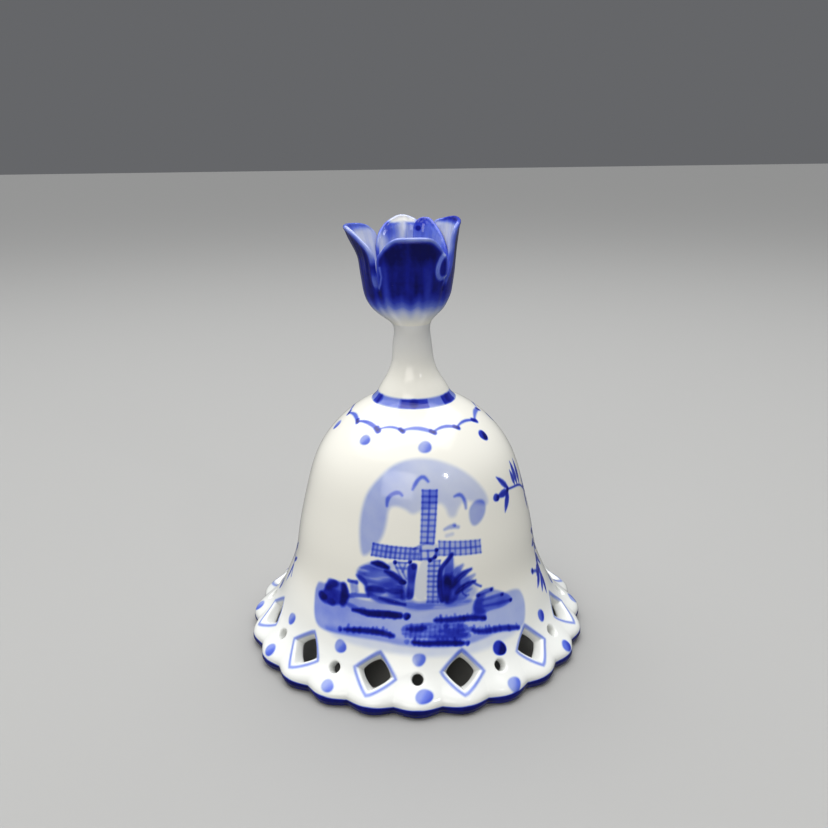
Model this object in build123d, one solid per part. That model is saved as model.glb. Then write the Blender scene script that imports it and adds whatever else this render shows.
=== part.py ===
from build123d import *
import math
import os

# Porcelain table bell with a tulip-shaped handle, in millimetres.
# +Z is up, the foot stands on Z = 0, and the axis of the bell is the Z axis.
# Azimuth 0 is the painted front, which faces -Y; positive azimuths turn towards +X.

# ---- driving dimensions -------------------------------------------------------------------
foot_radius = 43.0
crown_height = 60.3
stem_top = 78.5
cup_rim = 87.0
crown_radius = 10.2
wall = 2.6

lobe_count = 24
piercing_count = 12
notch_depth = 1.6
lobe_fade_height = 8.2

diamond_half_diagonal = 4.7
diamond_taper = 0.5
diamond_turn = -8.0
diamond_height = 7.6
hole_radius = 1.3
countersink_radius = 1.75
hole_height = 7.0

tulip_offset = -1.1
stem_top_offset = -0.45

bush_radius = 2.5
bush_flange_radius = 3.6
bush_flange = 0.8
bush_bore = 0.65
pin_radius = 0.6
pin_head_radius = 1.5
pin_head = 0.75
washer_radius = 1.8
washer = 0.4
play = 0.05

eye_radius = 1.6
eye_wire = 0.5
wire_radius = 0.45
loop_clearance = 0.06
pivot_height = 52.6
bead_radius = 6.5
bead_height = 17.0
bead_bore = 0.51
crimp_radius = 0.95
crimp_length = 1.2
crimp_gap = 0.1
wire_tail = 0.6

# ---- outlines as (radius, height) ---------------------------------------------------------
ceiling = crown_height - 2.3

outer_wall = [
    (36.2, lobe_fade_height),
    (33.0, 14.0),
    (30.6, 20.0),
    (29.0, 28.0),
    (26.7, 38.0),
    (23.3, 48.0),
    (17.9, 55.0),
    (11.8, 59.5),
    (crown_radius, crown_height),
]

inner_wall = [
    (38.6, 0.0),
    (35.4, 5.2),
    (32.5, 9.2),
    (28.1, 19.3),
    (26.4, 27.5),
    (24.2, 37.4),
    (21.0, 46.8),
    (16.1, 53.1),
    (10.5, 57.3),
    (7.0, ceiling),
]

# height, radius of the lobe crests and share of the notch depth that is left
foot_rings = [
    (0.0, foot_radius - 0.8, 1.0),
    (0.8, foot_radius, 1.0),
    (2.2, foot_radius - 0.5, 0.85),
    (4.2, 40.8, 0.5),
    (6.2, 38.3, 0.2),
    (lobe_fade_height, 36.2, 0.0),
]

# height, radius and sideways offset of the round sections
stem_rings = [
    (crown_height, crown_radius, 0.0),
    (61.5, 9.0, 0.0),
    (63.2, 8.0, 0.0),
    (66.0, 6.3, -0.05),
    (70.0, 4.85, -0.15),
    (74.0, 4.45, -0.28),
    (stem_top, 4.3, stem_top_offset),
]

stem_bore = [
    (crown_height, 7.0, 0.0),
    (63.0, 4.9, 0.0),
    (67.0, 3.3, -0.1),
    (72.0, 2.4, -0.2),
    (stem_top, 2.2, stem_top_offset),
]

cup_rings = [
    (stem_top, 4.3, stem_top_offset),
    (79.6, 5.2, -0.7),
    (80.8, 6.6, -0.9),
    (82.2, 8.15, -1.0),
    (83.6, 9.25, tulip_offset),
    (85.2, 9.95, tulip_offset),
    (cup_rim, 10.35, tulip_offset),
]

cup_bowl = [(4.5, 81.8), (6.8, 83.1), (8.1, 85.0), (8.85, cup_rim)]
cup_floor = 81.5

# One row per level of a petal: height, azimuth of its two edges, outer radius, thickness.
petals = {
    "petal_front": [
        (cup_rim, -38.0, 50.5, 10.35, 1.5),
        (90.5, -38.0, 50.5, 10.85, 1.45),
        (94.0, -37.0, 49.0, 11.25, 1.35),
        (96.6, -29.0, 42.0, 11.5, 1.3),
        (98.4, -21.0, 35.0, 12.0, 1.2),
        (99.4, -13.0, 28.0, 12.6, 1.0),
    ],
    "petal_left": [
        (cup_rim, -132.0, -41.0, 10.35, 1.5),
        (90.5, -132.0, -41.5, 10.85, 1.45),
        (94.5, -132.0, -43.5, 11.5, 1.35),
        (97.6, -130.0, -60.0, 12.6, 1.25),
        (99.8, -122.0, -76.0, 13.7, 1.15),
        (100.9, -104.0, -86.0, 14.2, 1.0),
    ],
    "petal_right": [
        (cup_rim, 52.0, 137.0, 10.35, 1.5),
        (90.5, 53.0, 137.0, 10.85, 1.45),
        (93.5, 58.0, 137.0, 11.15, 1.35),
        (97.5, 66.0, 136.0, 11.5, 1.3),
        (100.5, 68.0, 132.0, 11.8, 1.2),
        (102.5, 76.0, 114.0, 11.9, 1.0),
    ],
    "petal_back_left": [
        (cup_rim, 175.0, 227.0, 10.35, 1.5),
        (91.0, 175.0, 227.0, 10.8, 1.4),
        (96.0, 174.0, 226.0, 11.0, 1.35),
        (100.0, 176.0, 218.0, 11.3, 1.25),
        (102.8, 182.0, 202.0, 12.0, 1.0),
    ],
    "petal_back_right": [
        (cup_rim, 138.0, 174.0, 10.35, 1.5),
        (91.0, 138.0, 174.0, 10.8, 1.4),
        (96.0, 138.0, 173.0, 11.0, 1.35),
        (99.5, 140.0, 172.0, 11.2, 1.25),
        (101.6, 150.0, 166.0, 11.5, 1.0),
    ],
}


# ---- helpers ------------------------------------------------------------------------------
def around(radius, azimuth, height, offset=0.0):
    """The point at an azimuth, in degrees from the front, about an axis moved along X."""
    angle = math.radians(azimuth)
    return Vector(offset + radius * math.sin(angle), -radius * math.cos(angle), height)


def revolved(points, floor_height, roof_height):
    """A solid of revolution inside a smooth line of (radius, height) points."""
    line = [Vector(radius, 0, height) for radius, height in points]
    curve = Spline(line)
    floor_point = Vector(0, 0, floor_height)
    roof_point = Vector(0, 0, roof_height)
    edges = [curve, Line(line[-1], roof_point), Line(roof_point, floor_point)]
    if line[0].Z > floor_height:
        corner = Vector(line[0].X, 0, floor_height)
        edges += [Line(floor_point, corner), Line(corner, line[0])]
    else:
        edges.append(Line(floor_point, line[0]))
    return revolve(make_face(edges), Axis.Z)


def ring_loft(rings):
    """A smooth solid through circles given as height, radius and sideways offset."""
    sections = [
        Pos(offset, 0, height) * Circle(radius).face() for height, radius, offset in rings
    ]
    return loft(sections)


def lobed_section(height, crest, share):
    """A level face of the foot: an outward arc for each lobe, meeting in sharp notches."""
    step = 360.0 / lobe_count
    notch = crest - notch_depth * share
    arcs = []
    for lobe in range(lobe_count):
        start = around(notch, (lobe - 0.5) * step, height)
        middle = around(crest, lobe * step, height)
        end = around(notch, (lobe + 0.5) * step, height)
        arcs.append(ThreePointArc(start, middle, end))
    return make_face(arcs)


def skirt_plane(azimuth, height):
    """The plane that touches the flared skirt at a height, with its normal outwards."""
    radius, rise = skirt_at(height)
    length = math.hypot(rise, 1.0)
    angle = math.radians(azimuth)
    outward = Vector(math.sin(angle), -math.cos(angle), 0) / length
    normal = outward + Vector(0, 0, -rise / length)
    sideways = Vector(math.cos(angle), math.sin(angle), 0)
    return Plane(origin=around(radius, azimuth, height), x_dir=sideways, z_dir=normal)


def skirt_at(height):
    """Radius of the skirt at a height near the piercings, and its change per millimetre."""
    low_height, low_radius, _ = foot_rings[3]
    high_radius, high_height = outer_wall[0]
    rise = (high_radius - low_radius) / (high_height - low_height)
    return low_radius + rise * (height - low_height), rise


# ---- porcelain ----------------------------------------------------------------------------
def diamond_cutter(azimuth):
    """A tapered square plug, its corners up, down and to the sides."""
    plane = skirt_plane(azimuth, diamond_height)
    above = 1.5
    below = 5.0
    faces = []
    for depth in (-above, below):
        side = (diamond_half_diagonal - diamond_taper * depth) * math.sqrt(2)
        square = Rot(0, 0, 45 + diamond_turn) * Rectangle(side, side)
        faces.append(plane * Pos(0, 0, -depth) * square)
    return loft(faces)


def round_cutter(azimuth):
    """A drilled hole with a soft countersink on the outside."""
    plane = skirt_plane(azimuth, hole_height)
    drill = Cylinder(hole_radius, 12)
    sink_depth = 0.9
    sink = Cone(hole_radius, countersink_radius + 0.5, 2 * sink_depth)
    return plane * (drill + sink)


def make_shell():
    """The bell itself: scalloped foot, pierced skirt and crown in one wall."""
    foot = loft([lobed_section(*ring) for ring in foot_rings], ruled=True)
    body = revolved(outer_wall, lobe_fade_height, crown_height)
    hollow = revolved(inner_wall, -1.0, ceiling)
    throat = Pos(0, 0, ceiling) * Cylinder(bush_radius, 4 * wall)
    shell = foot + body - hollow - throat
    step = 360.0 / piercing_count
    for index in range(piercing_count):
        shell -= diamond_cutter((index + 0.5) * step)
        shell -= round_cutter(index * step)
    return shell


def make_stem():
    """The hollow waisted stem that is luted on the crown."""
    return ring_loft(stem_rings) - ring_loft(stem_bore)


def make_cup():
    """The bowl of the tulip, on top of the stem."""
    bowl = revolved(cup_bowl, cup_floor, cup_rim)
    return ring_loft(cup_rings) - Pos(tulip_offset, 0, 0) * bowl


def petal_section(height, start, end, radius, thickness):
    """A level slice of a petal: a curved bar between two azimuths."""
    inner = radius - thickness
    middle = (start + end) / 2
    corners = [
        around(radius, start, height, tulip_offset),
        around(radius, end, height, tulip_offset),
        around(inner, end, height, tulip_offset),
        around(inner, start, height, tulip_offset),
    ]
    outside = ThreePointArc(corners[0], around(radius, middle, height, tulip_offset), corners[1])
    inside = ThreePointArc(corners[2], around(inner, middle, height, tulip_offset), corners[3])
    sides = [Line(corners[1], corners[2]), Line(corners[3], corners[0])]
    return make_face([outside, sides[0], inside, sides[1]])


def make_petal(levels):
    """A petal through its level slices."""
    return loft([petal_section(*level) for level in levels])


def make_bead():
    """The porcelain ball that strikes the wall, with a hole for its wire."""
    ball = Sphere(bead_radius) - Cylinder(bead_bore, 3 * bead_radius)
    return Pos(0, 0, bead_height) * ball


# ---- brass --------------------------------------------------------------------------------
def make_bush():
    """A flanged bush, cemented in the crown from below."""
    body_height = crown_height - ceiling + 0.6
    body = Pos(0, 0, ceiling + body_height / 2) * Cylinder(bush_radius, body_height)
    flange = Pos(0, 0, ceiling - bush_flange / 2) * Cylinder(bush_flange_radius, bush_flange)
    bore = Pos(0, 0, ceiling) * Cylinder(bush_bore, 20)
    return body + flange - bore


bush_top = crown_height + 0.6
pin_head_bottom = bush_top + washer + play
eye_centre = pivot_height + eye_radius
loop_top = pivot_height + eye_wire + wire_radius + loop_clearance
loop_centre = loop_top - eye_radius


def make_washer():
    """The flat washer on which the head of the pin turns."""
    ring = Cylinder(washer_radius, washer) - Cylinder(bush_bore + play, 3 * washer)
    return Pos(0, 0, bush_top + washer / 2) * ring


def make_pin():
    """The swivel pin: peened head on top, eye below the bush."""
    head = Pos(0, 0, pin_head_bottom + pin_head / 2) * Cylinder(pin_head_radius, pin_head)
    shank_bottom = eye_centre + eye_radius
    length = pin_head_bottom - shank_bottom + pin_head / 2
    shank = Pos(0, 0, shank_bottom + length / 2) * Cylinder(pin_radius, length)
    eye = Pos(0, 0, eye_centre) * Rot(90, 0, 0) * Torus(eye_radius, eye_wire)
    return head + shank + eye


def make_wire():
    """The clapper wire: loop through the eye, three wraps below it, straight shank."""
    loop = Pos(0, 0, loop_centre) * Rot(0, 90, 0) * Torus(eye_radius, wire_radius)
    top = loop_centre - eye_radius
    bottom = bead_height - bead_radius - crimp_gap - crimp_length - wire_tail
    shank = Pos(0, 0, (top + bottom) / 2) * Cylinder(wire_radius, top - bottom)
    wire = loop + shank
    wrap_pitch = 1.75 * wire_radius
    for turn in range(3):
        height = top - (turn + 1.2) * wrap_pitch
        wire += Pos(0, 0, height) * Torus(1.85 * wire_radius, 0.95 * wire_radius)
    return wire


def make_crimp(side):
    """A crimped sleeve that keeps the bead in its place; side is 1 above and -1 below."""
    sleeve = Cylinder(crimp_radius, crimp_length) - Cylinder(wire_radius, 3 * crimp_length)
    distance = bead_radius + crimp_gap + crimp_length / 2
    return Pos(0, 0, bead_height + side * distance) * sleeve


# ---- all pieces ---------------------------------------------------------------------------
parts = {
    "bell_shell": make_shell(),
    "handle_stem": make_stem(),
    "tulip_cup": make_cup(),
    "hanger_bush": make_bush(),
    "hanger_washer": make_washer(),
    "hanger_pin": make_pin(),
    "clapper_wire": make_wire(),
    "upper_crimp": make_crimp(1),
    "lower_crimp": make_crimp(-1),
    "clapper_bead": make_bead(),
}
for petal_name, levels in petals.items():
    parts[petal_name] = make_petal(levels)

os.makedirs("parts", exist_ok=True)
for name, shape in parts.items():
    export_step(shape, f"parts/{name}.step")
    print(name, round(shape.volume, 1), "mm3")
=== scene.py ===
import math

import bmesh
import bpy
import numpy as np
from mathutils import Matrix, Vector


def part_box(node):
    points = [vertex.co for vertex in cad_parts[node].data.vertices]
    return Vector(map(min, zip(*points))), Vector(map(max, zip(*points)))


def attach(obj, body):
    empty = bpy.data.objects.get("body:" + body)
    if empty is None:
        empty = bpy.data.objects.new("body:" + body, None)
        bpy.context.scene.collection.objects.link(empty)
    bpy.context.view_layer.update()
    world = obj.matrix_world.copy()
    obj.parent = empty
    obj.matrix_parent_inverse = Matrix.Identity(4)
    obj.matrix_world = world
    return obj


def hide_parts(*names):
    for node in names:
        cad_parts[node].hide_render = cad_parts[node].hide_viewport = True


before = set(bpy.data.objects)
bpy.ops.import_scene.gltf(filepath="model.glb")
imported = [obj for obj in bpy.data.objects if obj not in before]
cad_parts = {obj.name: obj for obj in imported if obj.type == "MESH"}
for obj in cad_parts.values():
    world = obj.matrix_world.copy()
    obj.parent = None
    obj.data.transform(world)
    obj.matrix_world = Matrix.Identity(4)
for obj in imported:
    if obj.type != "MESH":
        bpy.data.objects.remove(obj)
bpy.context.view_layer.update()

# Shapes are worked out in millimetres and go into the meshes in metres.
# Azimuth 0 is the painted front, which faces -Y; positive azimuths turn towards +X.
MM = 0.001

# ---- sizes that the pieces share ----------------------------------------------------------
CROWN_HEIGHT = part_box("bell_shell")[1][2] / MM
STEM_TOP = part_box("handle_stem")[1][2] / MM
CUP_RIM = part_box("tulip_cup")[1][2] / MM
FOOT_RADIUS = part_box("bell_shell")[1][0] / MM
CROWN_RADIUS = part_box("handle_stem")[1][0] / MM
TULIP_OFFSET = -1.1
STEM_TOP_OFFSET = -0.36
CEILING = CROWN_HEIGHT - 2.3
THROAT_RADIUS = 2.5

LOBES = 24
LOBE_STEP = 360.0 / LOBES
NOTCH_DEPTH = 1.6
LOBE_ROUNDNESS = 0.62
PIERCINGS = 12
PIERCING_STEP = 360.0 / PIERCINGS
DIAMOND_HEIGHT = 7.6
DIAMOND_TURN = -8.0
DIAMOND_SHIFTS = {0: 0.8, 1: 1.2}
HOLE_HEIGHT = 7.0

# Outer wall from the lip of the foot to the crown, and inner wall from the foot to the
# ceiling, as (radius, height). The outer one follows the crests of the scallops.
OUTER_WALL = [
    (FOOT_RADIUS - 0.7, 1.5),
    (FOOT_RADIUS - 0.9, 2.9),
    (40.6, 4.5),
    (38.3, 6.2),
    (36.2, 8.2),
    (33.0, 14.0),
    (30.6, 20.0),
    (29.0, 28.0),
    (26.7, 38.0),
    (23.3, 48.0),
    (17.9, 55.0),
    (11.8, 59.5),
    (CROWN_RADIUS, CROWN_HEIGHT),
]
INNER_WALL = [
    (38.4, 0.5),
    (35.4, 5.2),
    (32.5, 9.2),
    (28.1, 19.3),
    (26.4, 27.5),
    (24.2, 37.4),
    (21.0, 46.8),
    (16.1, 53.1),
    (10.5, 57.3),
    (7.0, CEILING),
]
# The edge under the lobes: (radius, height) from the flat ring up to the outer wall.
FOOT_EDGE = [
    (41.0, 0.0),
    (41.45, 0.06),
    (41.75, 0.28),
    (41.9, 0.6),
    (42.0, 0.95),
    (42.15, 1.2),
]
# The share of the notches' depth that is left at each height.
LOBE_HEIGHTS = [0.0, 0.8, 2.2, 4.2, 6.2, 8.2]
LOBE_SHARES = [1.0, 1.0, 0.88, 0.55, 0.22, 0.0]

# Rings on the flat crown and on the ceiling below it, from their radii, and the rings that
# close the foot inside its edge, as (radius, height).
CROWN_RINGS = (8.6, 7.0, THROAT_RADIUS)
CEILING_RINGS = (THROAT_RADIUS, 4.0, 5.6)
FOOT_SEAT = ((38.8, 0.12), (39.2, 0.0))

# Mesh columns in each lobe, as (azimuth that they reach to, columns): most on the painted
# front, fewer at the sides and at the back.
LOBE_COLUMNS = ((52.5, 44), (98.0, 32), (181.0, 20))
ROW_STEP = 0.22
# The band of rows that is pierced reaches this far up and down the wall from the middle of a
# diamond; the inner face has these rows below and above it.
BAND_REACH = 6.9
ROWS_BELOW_BAND = 3
ROWS_ABOVE_BAND = 27


# ---- curves and noise ---------------------------------------------------------------------
def natural_spline(knots, values, places):
    """Natural cubic spline through the values at the knots, read at the places."""
    knots = np.asarray(knots, float)
    values = np.asarray(values, float)
    steps = np.diff(knots)
    slopes = np.diff(values) / steps
    count = len(knots)
    matrix = np.eye(count)
    right = np.zeros(count)
    for i in range(1, count - 1):
        matrix[i, i - 1] = steps[i - 1]
        matrix[i, i] = 2 * (steps[i - 1] + steps[i])
        matrix[i, i + 1] = steps[i]
        right[i] = 6 * (slopes[i] - slopes[i - 1])
    bend = np.linalg.solve(matrix, right)
    i = np.clip(np.searchsorted(knots, places) - 1, 0, count - 2)
    step = steps[i]
    left = (knots[i + 1] - places) / step
    share = 1 - left
    curve = (left**3 - left) * bend[i] + (share**3 - share) * bend[i + 1]
    return left * values[i] + share * values[i + 1] + curve * step**2 / 6


def read_line(line, places, wanted):
    """Each coordinate of a line at the wanted places along it."""
    return [np.interp(wanted, places, column) for column in line.T]


def line_through(points, spacing):
    """A smooth line through points of any dimension, resampled at an even spacing."""
    points = np.asarray(points, float)
    chord = np.concatenate([[0], np.cumsum(np.linalg.norm(np.diff(points, axis=0), axis=1))])
    fine = np.linspace(0, chord[-1], max(200, 12 * len(points)))
    dense = np.stack([natural_spline(chord, column, fine) for column in points.T], axis=1)
    length = np.concatenate([[0], np.cumsum(np.linalg.norm(np.diff(dense, axis=0), axis=1))])
    count = max(2, int(round(length[-1] / spacing)) + 1)
    places = np.linspace(0, length[-1], count)
    return np.stack(read_line(dense, length, places), axis=1), places


def runs_between(starts, ends, offsets):
    """For each straight run, the offsets of all the vertices from its start, and its size."""
    for here, there in zip(starts, ends):
        x, y = offsets(here)
        end_x, end_y = offsets(there)
        yield x, y, x - end_x, y - end_y


def nearest_share(x, y, run_x, run_y, square):
    """The share of a straight run nearest to the offsets from its start, and the gap there."""
    share = np.clip((x * run_x + y * run_y) / square, 0, 1)
    return share, np.hypot(x - share * run_x, y - share * run_y)


def smoothstep(low, high, value):
    """0 below low, 1 above high and a smooth step between."""
    share = np.clip((value - low) / (high - low), 0, 1)
    return share * share * (3 - 2 * share)


def hump(offset, width):
    """1 in the middle and falling off smoothly to both sides."""
    return np.exp(-((offset / width) ** 2))


def ripple(x, y, size, seed):
    """A smooth wandering field from about -1 to 1, with features of about the given size."""
    random = np.random.default_rng(seed)
    total = np.zeros_like(np.asarray(x, float) + np.asarray(y, float))
    waves = 7
    for _ in range(waves):
        turn = random.uniform(0, 2 * math.pi)
        pace = random.uniform(0.6, 1.5) * 2 * math.pi / size
        shift = random.uniform(0, 2 * math.pi)
        total += np.sin(pace * (x * math.cos(turn) + y * math.sin(turn)) + shift)
    return total / math.sqrt(waves)


def wrapped(degrees):
    """The same angle between -180 and 180."""
    return (np.asarray(degrees) + 180.0) % 360.0 - 180.0


# ---- meshes -------------------------------------------------------------------------------
def build_mesh(name, points, quads, attributes=None, flats=()):
    """A mesh object from points in millimetres, four-cornered faces and flat end faces."""
    mesh = bpy.data.meshes.new(name)
    points = np.asarray(points, float) * MM
    quads = np.asarray(quads, np.int32)
    mesh.vertices.add(len(points))
    mesh.vertices.foreach_set("co", points.ravel())
    mesh.loops.add(quads.size)
    mesh.loops.foreach_set("vertex_index", quads.ravel())
    mesh.polygons.add(len(quads))
    mesh.polygons.foreach_set("loop_start", np.arange(0, quads.size, 4, dtype=np.int32))
    mesh.polygons.foreach_set("use_smooth", np.ones(len(quads), bool))
    mesh.update(calc_edges=True)
    for key, values in (attributes or {}).items():
        layer = mesh.attributes.new(key, "FLOAT", "POINT")
        layer.data.foreach_set("value", np.asarray(values, np.float32))
    face_outwards(mesh, flats)
    piece = bpy.data.objects.new(name, mesh)
    bpy.context.scene.collection.objects.link(piece)
    return piece


def face_outwards(mesh, flats):
    """Adds flat end faces, and turns all the faces of a closed mesh outwards."""
    shape = bmesh.new()
    shape.from_mesh(mesh)
    shape.verts.ensure_lookup_table()
    for flat in flats:
        shape.faces.new([shape.verts[i] for i in flat])
    bmesh.ops.recalc_face_normals(shape, faces=shape.faces)
    shape.to_mesh(mesh)
    shape.free()


def grid_quads(rows, columns, row_wrap=False, column_wrap=False, start=0):
    """Faces of a grid of vertices that are numbered row by row."""
    row = np.arange(rows if row_wrap else rows - 1)
    column = np.arange(columns if column_wrap else columns - 1)
    row, column = (a.ravel() for a in np.meshgrid(row, column, indexing="ij"))
    next_row = (row + 1) % rows
    next_column = (column + 1) % columns
    corners = [
        row * columns + column,
        row * columns + next_column,
        next_row * columns + next_column,
        next_row * columns + column,
    ]
    return np.stack(corners, axis=1) + start


def finish_piece(piece, body, nodes, material):
    """Gives a piece its material and body, and hides the CAD nodes it stands for."""
    coat(piece, material)
    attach(piece, body)
    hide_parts(*nodes)


def coat(piece, material):
    piece.data.materials.clear()
    piece.data.materials.append(material)


# ---- the wall of the bell -----------------------------------------------------------------
class Wall:
    """The outer and inner faces of the bell as functions of azimuth and distance along them."""

    def __init__(self):
        self.outer, self.outer_along = line_through(OUTER_WALL, 0.05)
        self.inner, self.inner_along = line_through(INNER_WALL, 0.05)
        gap = self.outer[:, None, :] - self.inner[None, :, :]
        nearest = np.argmin((gap**2).sum(axis=2), axis=1)
        self.facing = self.inner_along[nearest]

    def outer_at(self, along):
        """Crest radius and height of the outer face."""
        return read_line(self.outer, self.outer_along, along)

    def inner_at(self, along):
        """Radius and height of the inner face."""
        return read_line(self.inner, self.inner_along, along)

    def inner_facing(self, along):
        """Distance along the inner face of the place nearest to one on the outer face."""
        return np.interp(along, self.outer_along, self.facing)

    def along_at(self, height):
        """Distance along the outer face at a height."""
        return np.interp(height, self.outer[:, 1], self.outer_along)

    def outer_point(self, azimuth, along):
        radius, height = self.outer_at(along)
        return around(radius - notch(azimuth, height), azimuth, height)

    def inner_point(self, azimuth, along):
        radius, height = self.inner_at(along)
        return around(radius, azimuth, height)


def around(radius, azimuth, height, offset=0.0):
    """Points at an azimuth about an upright axis."""
    angle = np.radians(azimuth)
    x = offset + radius * np.sin(angle)
    y = -radius * np.cos(angle)
    return np.stack(np.broadcast_arrays(x, y, height), axis=-1).astype(float)


def notch(azimuth, height):
    """How far the scalloped foot lies inside the crests of its lobes."""
    place = (np.asarray(azimuth) / LOBE_STEP + 0.5) % 1.0 - 0.5
    crest = ((np.cos(2 * math.pi * place) + 1) / 2) ** LOBE_ROUNDNESS
    return NOTCH_DEPTH * np.interp(height, LOBE_HEIGHTS, LOBE_SHARES) * (1 - crest)


def column_azimuths():
    """Azimuths of the mesh columns: closer together where the front is painted."""
    azimuths = []
    for lobe in range(LOBES):
        start = (lobe - LOBES / 2 + 0.5) * LOBE_STEP
        middle = start + LOBE_STEP / 2
        count = next(columns for edge, columns in LOBE_COLUMNS if abs(middle) < edge)
        azimuths.extend(start + LOBE_STEP * np.arange(count) / count)
    return np.array(azimuths)


def opening_edge(angle, size, roundness):
    """Distance from the middle of an opening to its edge, in the direction of angle.

    A roundness of 1 gives a diamond with sharp corners, and 2 gives a circle."""
    turned = angle - math.radians(DIAMOND_TURN)
    total = np.abs(np.cos(turned)) ** roundness + np.abs(np.sin(turned)) ** roundness
    return size / total ** (1 / roundness)


def quarter_round(bevel, slants):
    """Steps round a bevel, as (distance from the opening, depth below the face)."""
    turns = [math.radians(slant) for slant in slants]
    return [(bevel * (1 - math.sin(turn)), bevel * (1 - math.cos(turn))) for turn in turns]


# Outer and inner are the half diagonals or radii of the opening at the two faces, and growth
# is what a ring adds to them for each mm away from the edge. Corners are roundnesses. Half
# width (in degrees) and half rise (in mm along the wall) give the patch of the grid that the
# rings take the place of, and blends counts the rings that lead from its shape to the opening's.
PIERCING_KINDS = {
    "diamond": {
        "height": DIAMOND_HEIGHT,
        "half_width": 9.2,
        "half_rise": 6.4,
        "outer": 4.2,
        "inner": 3.0,
        "growth": math.sqrt(2),
        "corner": 1.1,
        "inner_corner": 1.35,
        "bevel": 0.5,
        "rings": (1.15, 0.95, 0.75),
        "blends": 10,
    },
    "hole": {
        "height": HOLE_HEIGHT,
        "half_width": 3.6,
        "half_rise": 2.3,
        "outer": 1.35,
        "inner": 1.15,
        "growth": 1.0,
        "corner": 2.0,
        "inner_corner": 2.0,
        "bevel": 0.45,
        "rings": (),
        "blends": 4,
    },
}
INNER_BEVEL = 0.35
# Steps round the outer and inner bevels in degrees, and the rings between the two.
OUTER_SLANTS = (25, 50, 75)
INNER_SLANTS = (60, 25, 0)
DEPTHS_BETWEEN_BEVELS = (0.15, 0.5, 0.85)


def patch_boundary(rows, columns):
    """Rows and columns of the vertices round a patch of the grid, in order."""
    bottom = [(rows[0], c) for c in columns]
    right = [(r, columns[-1]) for r in rows[1:]]
    top = [(rows[-1], c) for c in columns[::-1][1:]]
    left = [(r, columns[0]) for r in rows[::-1][1:-1]]
    return np.array(bottom + right + top + left).T


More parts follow.
